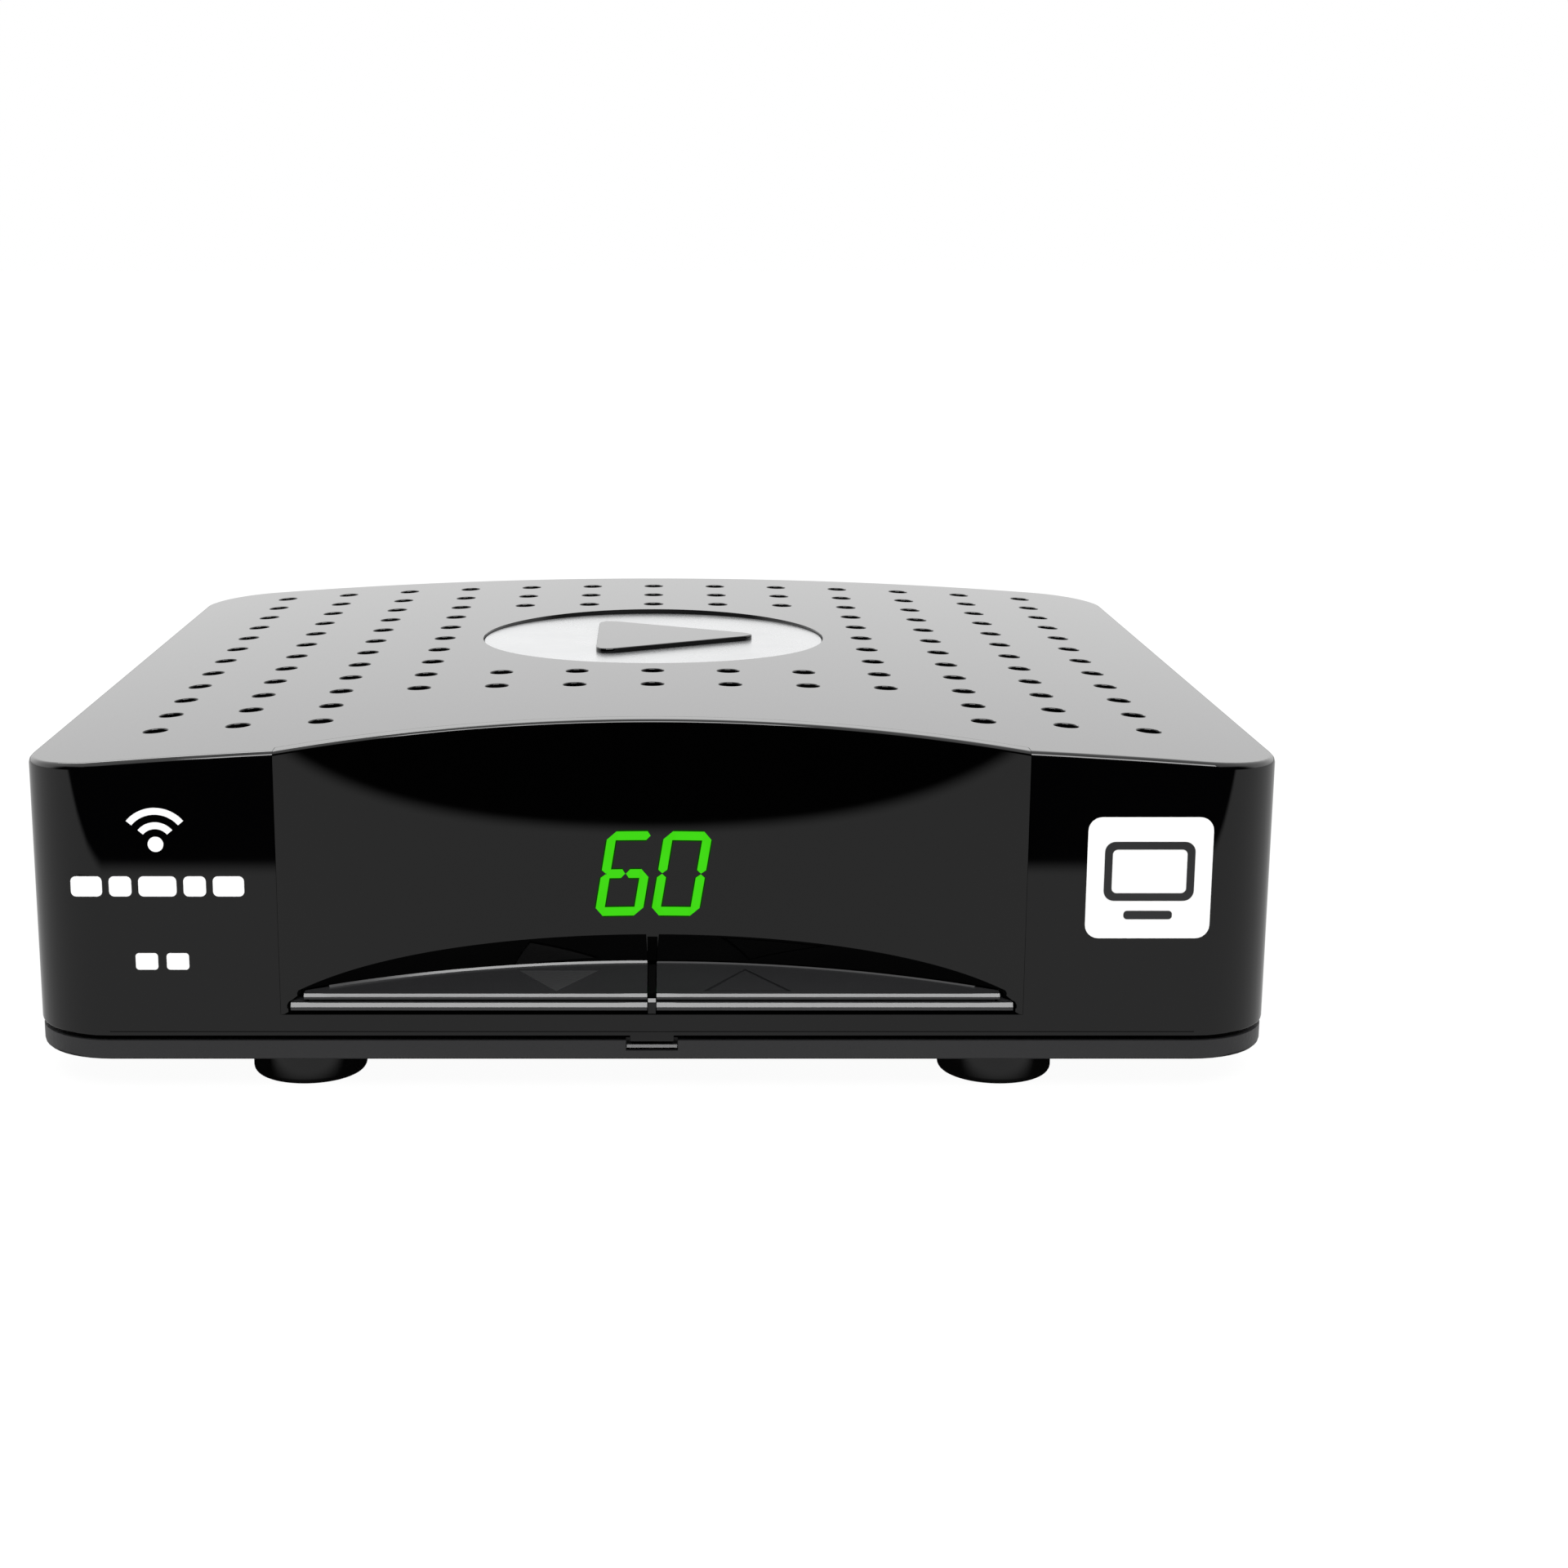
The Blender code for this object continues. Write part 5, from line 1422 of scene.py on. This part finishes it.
tray_bm = plan_block(0.15 * MM, TRAY_BOTTOM, TRAY_RIM_TOP)
round_edges(tray_bm, top_rim(tray_bm, low=True), 0.5 * MM)
tray_bm = combine(
    tray_bm,
    [
        ("UNION", plan_block(WALL + 0.3 * MM, TRAY_BOTTOM + 0.3 * MM, 9 * MM)),
        ("DIFFERENCE", plan_block(WALL + 1.8 * MM, TRAY_BOTTOM + 2 * MM, APEX)),
        ("UNION", cylinder(standoffs, 3 * MM, TRAY_BOTTOM + MM, 9.9 * MM)),
        ("DIFFERENCE", cylinder(standoffs, 1.3 * MM, 6.6 * MM, 12 * MM, sides=24)),
        (
            "DIFFERENCE",
            block(
                (opening_low.x - 0.3 * MM, opening_low.y - 1.5 * MM, TRAY_BOTTOM + 2 * MM),
                (opening_high.x + 0.3 * MM, opening_high.y + 0.3 * MM, APEX),
            ),
        ),
        (
            "DIFFERENCE",
            block((-NOTCH_HALF, FRONT - WALL, NOTCH_FLOOR), (NOTCH_HALF, FRONT + NOTCH_DEPTH, APEX)),
        ),
        ("DIFFERENCE", cylinder(foot_places, 6.9 * MM, 0, TRAY_BOTTOM + 0.6 * MM)),
        ("DIFFERENCE", cylinder(boss_places, 3 * MM, 0, 5.2 * MM)),
        ("DIFFERENCE", cylinder(boss_places, 1.5 * MM, 0, 10 * MM, sides=24)),
    ],
)
piece(tray_bm, "tray", TRAY_BLACK, ["base_tray"])

# %% Notch catch
CATCH_HALF = 2.95 * MM
CATCH_LOW, CATCH_HIGH, CATCH_FRONT = 5.48 * MM, 5.8 * MM, FRONT + 0.3 * MM
catch_bm = bmesh.new()
catch_outline = [
    (CATCH_FRONT, CATCH_LOW),
    (CATCH_FRONT + (CATCH_HIGH - CATCH_LOW) * LEAN_BACK, CATCH_HIGH),
    (FRONT + NOTCH_DEPTH + 0.05 * MM, CATCH_HIGH),
    (FRONT + NOTCH_DEPTH + 0.05 * MM, CATCH_LOW),
]
catch_bm.faces.new([catch_bm.verts.new((-CATCH_HALF, y, z)) for y, z in catch_outline])
raise_faces(catch_bm, 2 * CATCH_HALF, (1, 0, 0))
piece(catch_bm, "notch_catch", KEY_BLACK)

# %% [markdown]
# ## Feet
# Each foot is a soft rubber button with straight sides and a rounded lower edge. An outline
# turned about its own axis makes it.

# %% Feet
PAD_SWELL = 0.1 * MM  # how far the soft pad stands out past its node
FOOT_RADIUS = (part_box(FEET[0])[1].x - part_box(FEET[0])[0].x) / 2 + PAD_SWELL
FOOT_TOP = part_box(FEET[0])[1].z


def arc_points(centre, radius, start, end, steps):
    """Points of an arc between two angles in degrees, in the plane of a turned outline."""
    turns = [math.radians(start + (end - start) * step / steps) for step in range(steps + 1)]
    return [(centre[0] + radius * math.cos(t), centre[1] + radius * math.sin(t)) for t in turns]


foot_round = 0.8 * MM
foot_profile = [
    (0, FOOT_TOP),
    (FOOT_RADIUS - 0.2 * MM, FOOT_TOP),
    (FOOT_RADIUS, FOOT_TOP - 0.2 * MM),
    *arc_points((FOOT_RADIUS - foot_round, foot_round), foot_round, 0, -90, 8),
    (0, 0),
]
for node, (x, y) in zip(FEET, foot_places):
    piece(turned(foot_profile, (x, y, 0)), node + "_pad", FOOT_BLACK, [node])

# %% [markdown]
# ## Screws
# The case screws sit in the underside. Each has a domed head with a cross slot, cut by two
# thin blocks.

# %% Case screws
def cross_screw(node, name, head_radius, head_height, downwards):
    """A turned screw head and shank with a cross cut into the head."""
    low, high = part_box(node)
    centre = (low + high) / 2
    length = high.z - low.z - head_height
    profile = [
        (0, head_height),
        (head_radius * 0.55, head_height * 0.95),
        (head_radius * 0.88, head_height * 0.6),
        (head_radius, head_height * 0.1),
        (head_radius, 0),
        (1.1 * MM, 0),
        (1.1 * MM, -length),
        (0, -length),
    ]
    bm = turned(profile, (0, 0, 0), steps=40)
    slots = [
        block(
            (-reach_x, -reach_y, head_height * 0.35),
            (reach_x, reach_y, head_height * 1.5),
        )
        for reach_x, reach_y in ((1.5 * MM, 0.3 * MM), (0.3 * MM, 1.5 * MM))
    ]
    bm = combine(bm, [("DIFFERENCE", slot_block) for slot_block in slots])
    seat = low.z + head_height if downwards else high.z - head_height
    turn = Matrix.Rotation(math.pi, 4, "X") if downwards else Matrix()
    place = Matrix.Translation((centre.x, centre.y, seat)) @ turn
    bmesh.ops.transform(bm, matrix=place, verts=bm.verts)
    return piece(bm, name, SCREW_ZINC, [node])


for node in SCREW_NODES:
    cross_screw(node, node + "_cross", 2.7 * MM, 0.8 * MM, downwards=True)
for node in BOARD_SCREWS:
    cross_screw(node, node + "_cross", 2.5 * MM, 1.4 * MM, downwards=False)

# %% [markdown]
# ## Rear sockets
# The rear is where the box is plugged in. The aerial sockets are threaded and nickel plated,
# the phono sockets have a plated sleeve with a coloured insert, and the USB socket is a folded
# tin shell with a tongue and four contacts. They are turned or cut from blocks at the places
# of their nodes.

# %% Aerial sockets
def threaded_outline(radius, start, end, pitch, depth):
    """An outline that steps in and out like a thread, from end to start."""
    points, count = [], int((end - start) / pitch)
    for turn in range(count):
        along = end - turn * pitch
        points += [(radius - depth, along), (radius, along - pitch / 2)]
    return [*points, (radius - depth, start)]


for node in ("aerial_input", "aerial_output"):
    low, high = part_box(node)
    centre = (low + high) / 2
    length = high.y - low.y
    profile = [
        (0, length - 8 * MM),
        (1.2 * MM, length - 8 * MM),
        (1.2 * MM, length - 0.8 * MM),
        (2.0 * MM, length - 0.2 * MM),
        (2.6 * MM, length),
        (4.3 * MM, length),
        *threaded_outline(4.7 * MM, 5.6 * MM, length - 0.5 * MM, 0.8 * MM, 0.4 * MM),
        (4.7 * MM, 5.4 * MM),
        (4.7 * MM, 2 * MM),
        (5.8 * MM, 2 * MM),
        (5.8 * MM, 0),
        (0, 0),
    ]
    bm = turned(profile, (centre.x, low.y, centre.z), axis="Y", steps=64)
    piece(bm, node + "_thread", NICKEL, [node])
    nut_bm = cylinder([(centre.x, centre.z)], 6.4 * MM, opening_high.y, opening_high.y + 1.9 * MM, "Y", 6)
    round_edges(nut_bm, sharp_edges(nut_bm, 80), 0.2 * MM)
    bore = cylinder([(centre.x, centre.z)], 4.8 * MM, opening_high.y - MM, BACK + MM, "Y")
    piece(combine(nut_bm, [("DIFFERENCE", bore)]), node + "_nut", NICKEL)

# %% Phono sockets
for colour, insert in PHONO_COLOURS.items():
    node = "phono_" + colour
    low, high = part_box(node)
    centre = (low + high) / 2
    body_rear = opening_low.y - 0.3 * MM
    body_bm = block((low.x, low.y, low.z), (high.x, body_rear, high.z), edge=0.3 * MM)
    piece(body_bm, node + "_body", insert, [node])
    ring_bm = turned(
        [
            (4.15 * MM, 2.2 * MM),
            (4.6 * MM, 2.2 * MM),
            (4.85 * MM, 1.9 * MM),
            (4.85 * MM, 0.05 * MM),
            (4.15 * MM, 0.05 * MM),
            (4.15 * MM, 2.2 * MM),
        ],
        (centre.x, opening_high.y, centre.z),
        axis="Y",
    )
    piece(ring_bm, node + "_ring", insert)
    start, end = body_rear + 0.05 * MM, high.y
    length = end - start
    sleeve = [
        (3.45 * MM, 0),
        (3.45 * MM, length - 0.3 * MM),
        (3.7 * MM, length),
        (3.95 * MM, length),
        (4.13 * MM, length - 0.2 * MM),
        (4.13 * MM, 0),
        (3.45 * MM, 0),
    ]
    piece(turned(sleeve, (centre.x, start, centre.z), "Y"), node + "_sleeve", NICKEL)
    core = [
        (0, length - 7 * MM),
        (1.6 * MM, length - 7 * MM),
        (1.6 * MM, length - 1.2 * MM),
        (1.8 * MM, length - MM),
        (3.4 * MM, length - MM),
        (3.4 * MM, 0),
        (0, 0),
    ]
    piece(turned(core, (centre.x, start, centre.z), "Y"), node + "_core", insert)

# %% USB socket
low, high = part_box("usb_socket")
sheet_wall = 0.4 * MM
shell_bm = combine(
    block(low, high, edge=0.35 * MM),
    [
        (
            "DIFFERENCE",
            block(
                (low.x + sheet_wall, low.y + MM, low.z + sheet_wall),
                (high.x - sheet_wall, high.y + MM, high.z - sheet_wall),
            ),
        )
    ],
)
piece(shell_bm, "usb_shell", TINPLATE, ["usb_socket"])
usb_x = (low.x + high.x) / 2
tongue_top = high.z - 0.9 * MM
tongue_bm = block(
    (usb_x - 5.5 * MM, low.y + 1.05 * MM, tongue_top - 1.6 * MM),
    (usb_x + 5.5 * MM, high.y - 1.2 * MM, tongue_top),
    edge=0.15 * MM,
)
piece(tongue_bm, "usb_tongue", PART_WHITE)
contact_bm = bmesh.new()
for index in range(4):
    x = usb_x + (index - 1.5) * 2.2 * MM
    one = Matrix.Translation((x, high.y - 5 * MM, tongue_top - 1.65 * MM))
    bmesh.ops.create_cube(contact_bm, size=1.0, matrix=one @ Matrix.Diagonal((MM, 6 * MM, 0.08 * MM, 1)))
piece(contact_bm, "usb_contacts", GOLD)

# %% Power inlet
low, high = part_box("supply_socket")
centre = (low + high) / 2
body_rear = opening_low.y - 0.3 * MM
inlet_bm = combine(
    block(low, (high.x, body_rear, high.z), edge=0.3 * MM),
    [
        ("UNION", cylinder([(centre.x, centre.z)], 4 * MM, body_rear - 3 * MM, high.y, "Y", edge=0.2 * MM)),
        ("DIFFERENCE", cylinder([(centre.x, centre.z)], 2.75 * MM, high.y - 9.5 * MM, high.y + MM, "Y")),
        ("UNION", cylinder([(centre.x, centre.z)], MM, high.y - 10 * MM, high.y - MM, "Y", 24, 0.25 * MM)),
    ],
)
piece(inlet_bm, "power_inlet", PART_BLACK, ["supply_socket"])

# %% Output channel switch
low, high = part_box("rf_switch_slider")
slider_bm = block(low, high, edge=0.25 * MM)
piece(
    slider_bm,
    "output_slider",
    PART_WHITE,
    ["rf_switch_slider"],
    body="rf_switch_slider",
)

# %% [markdown]
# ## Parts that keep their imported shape
# The boards, chips and cans inside are only glimpsed through the vents, and their packed
# shapes are right. They keep them, and get a finish each.

# %% Finishes of the kept nodes
KEPT = {
    LAMINATE: ("main_board", "display_board", "key_board"),
    PART_BLACK: (
        "main_chip",
        "memory_chip",
        "remote_receiver",
        "channel_down_switch",
        "channel_up_switch",
        "rf_switch_body",
    ),
    PART_WHITE: ("channel_down_plunger", "channel_up_plunger"),
    PART_GREY: ("led_display",),
    RIBBON_GREY: ("ribbon_cable",),
    TINPLATE: ("tuner_can", "crystal"),
    ALUMINIUM: ("heatsink",),
    SLEEVE_BLUE: ("capacitor_input", "capacitor_output", "capacitor_tuner"),
    FERRITE: ("inductor",),
    PANEL_BLACK: ("rear_panel",),
}
for material, nodes in KEPT.items():
    for node in nodes:
        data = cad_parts[node].data
        data.materials.clear()
        data.materials.append(material)
print("kept nodes:", sum(len(nodes) for nodes in KEPT.values()))

# %% Print the sizes and finish
low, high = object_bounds()
print("visual box:", [round((b - a) / MM, 2) for a, b in zip(low, high)], "mm")
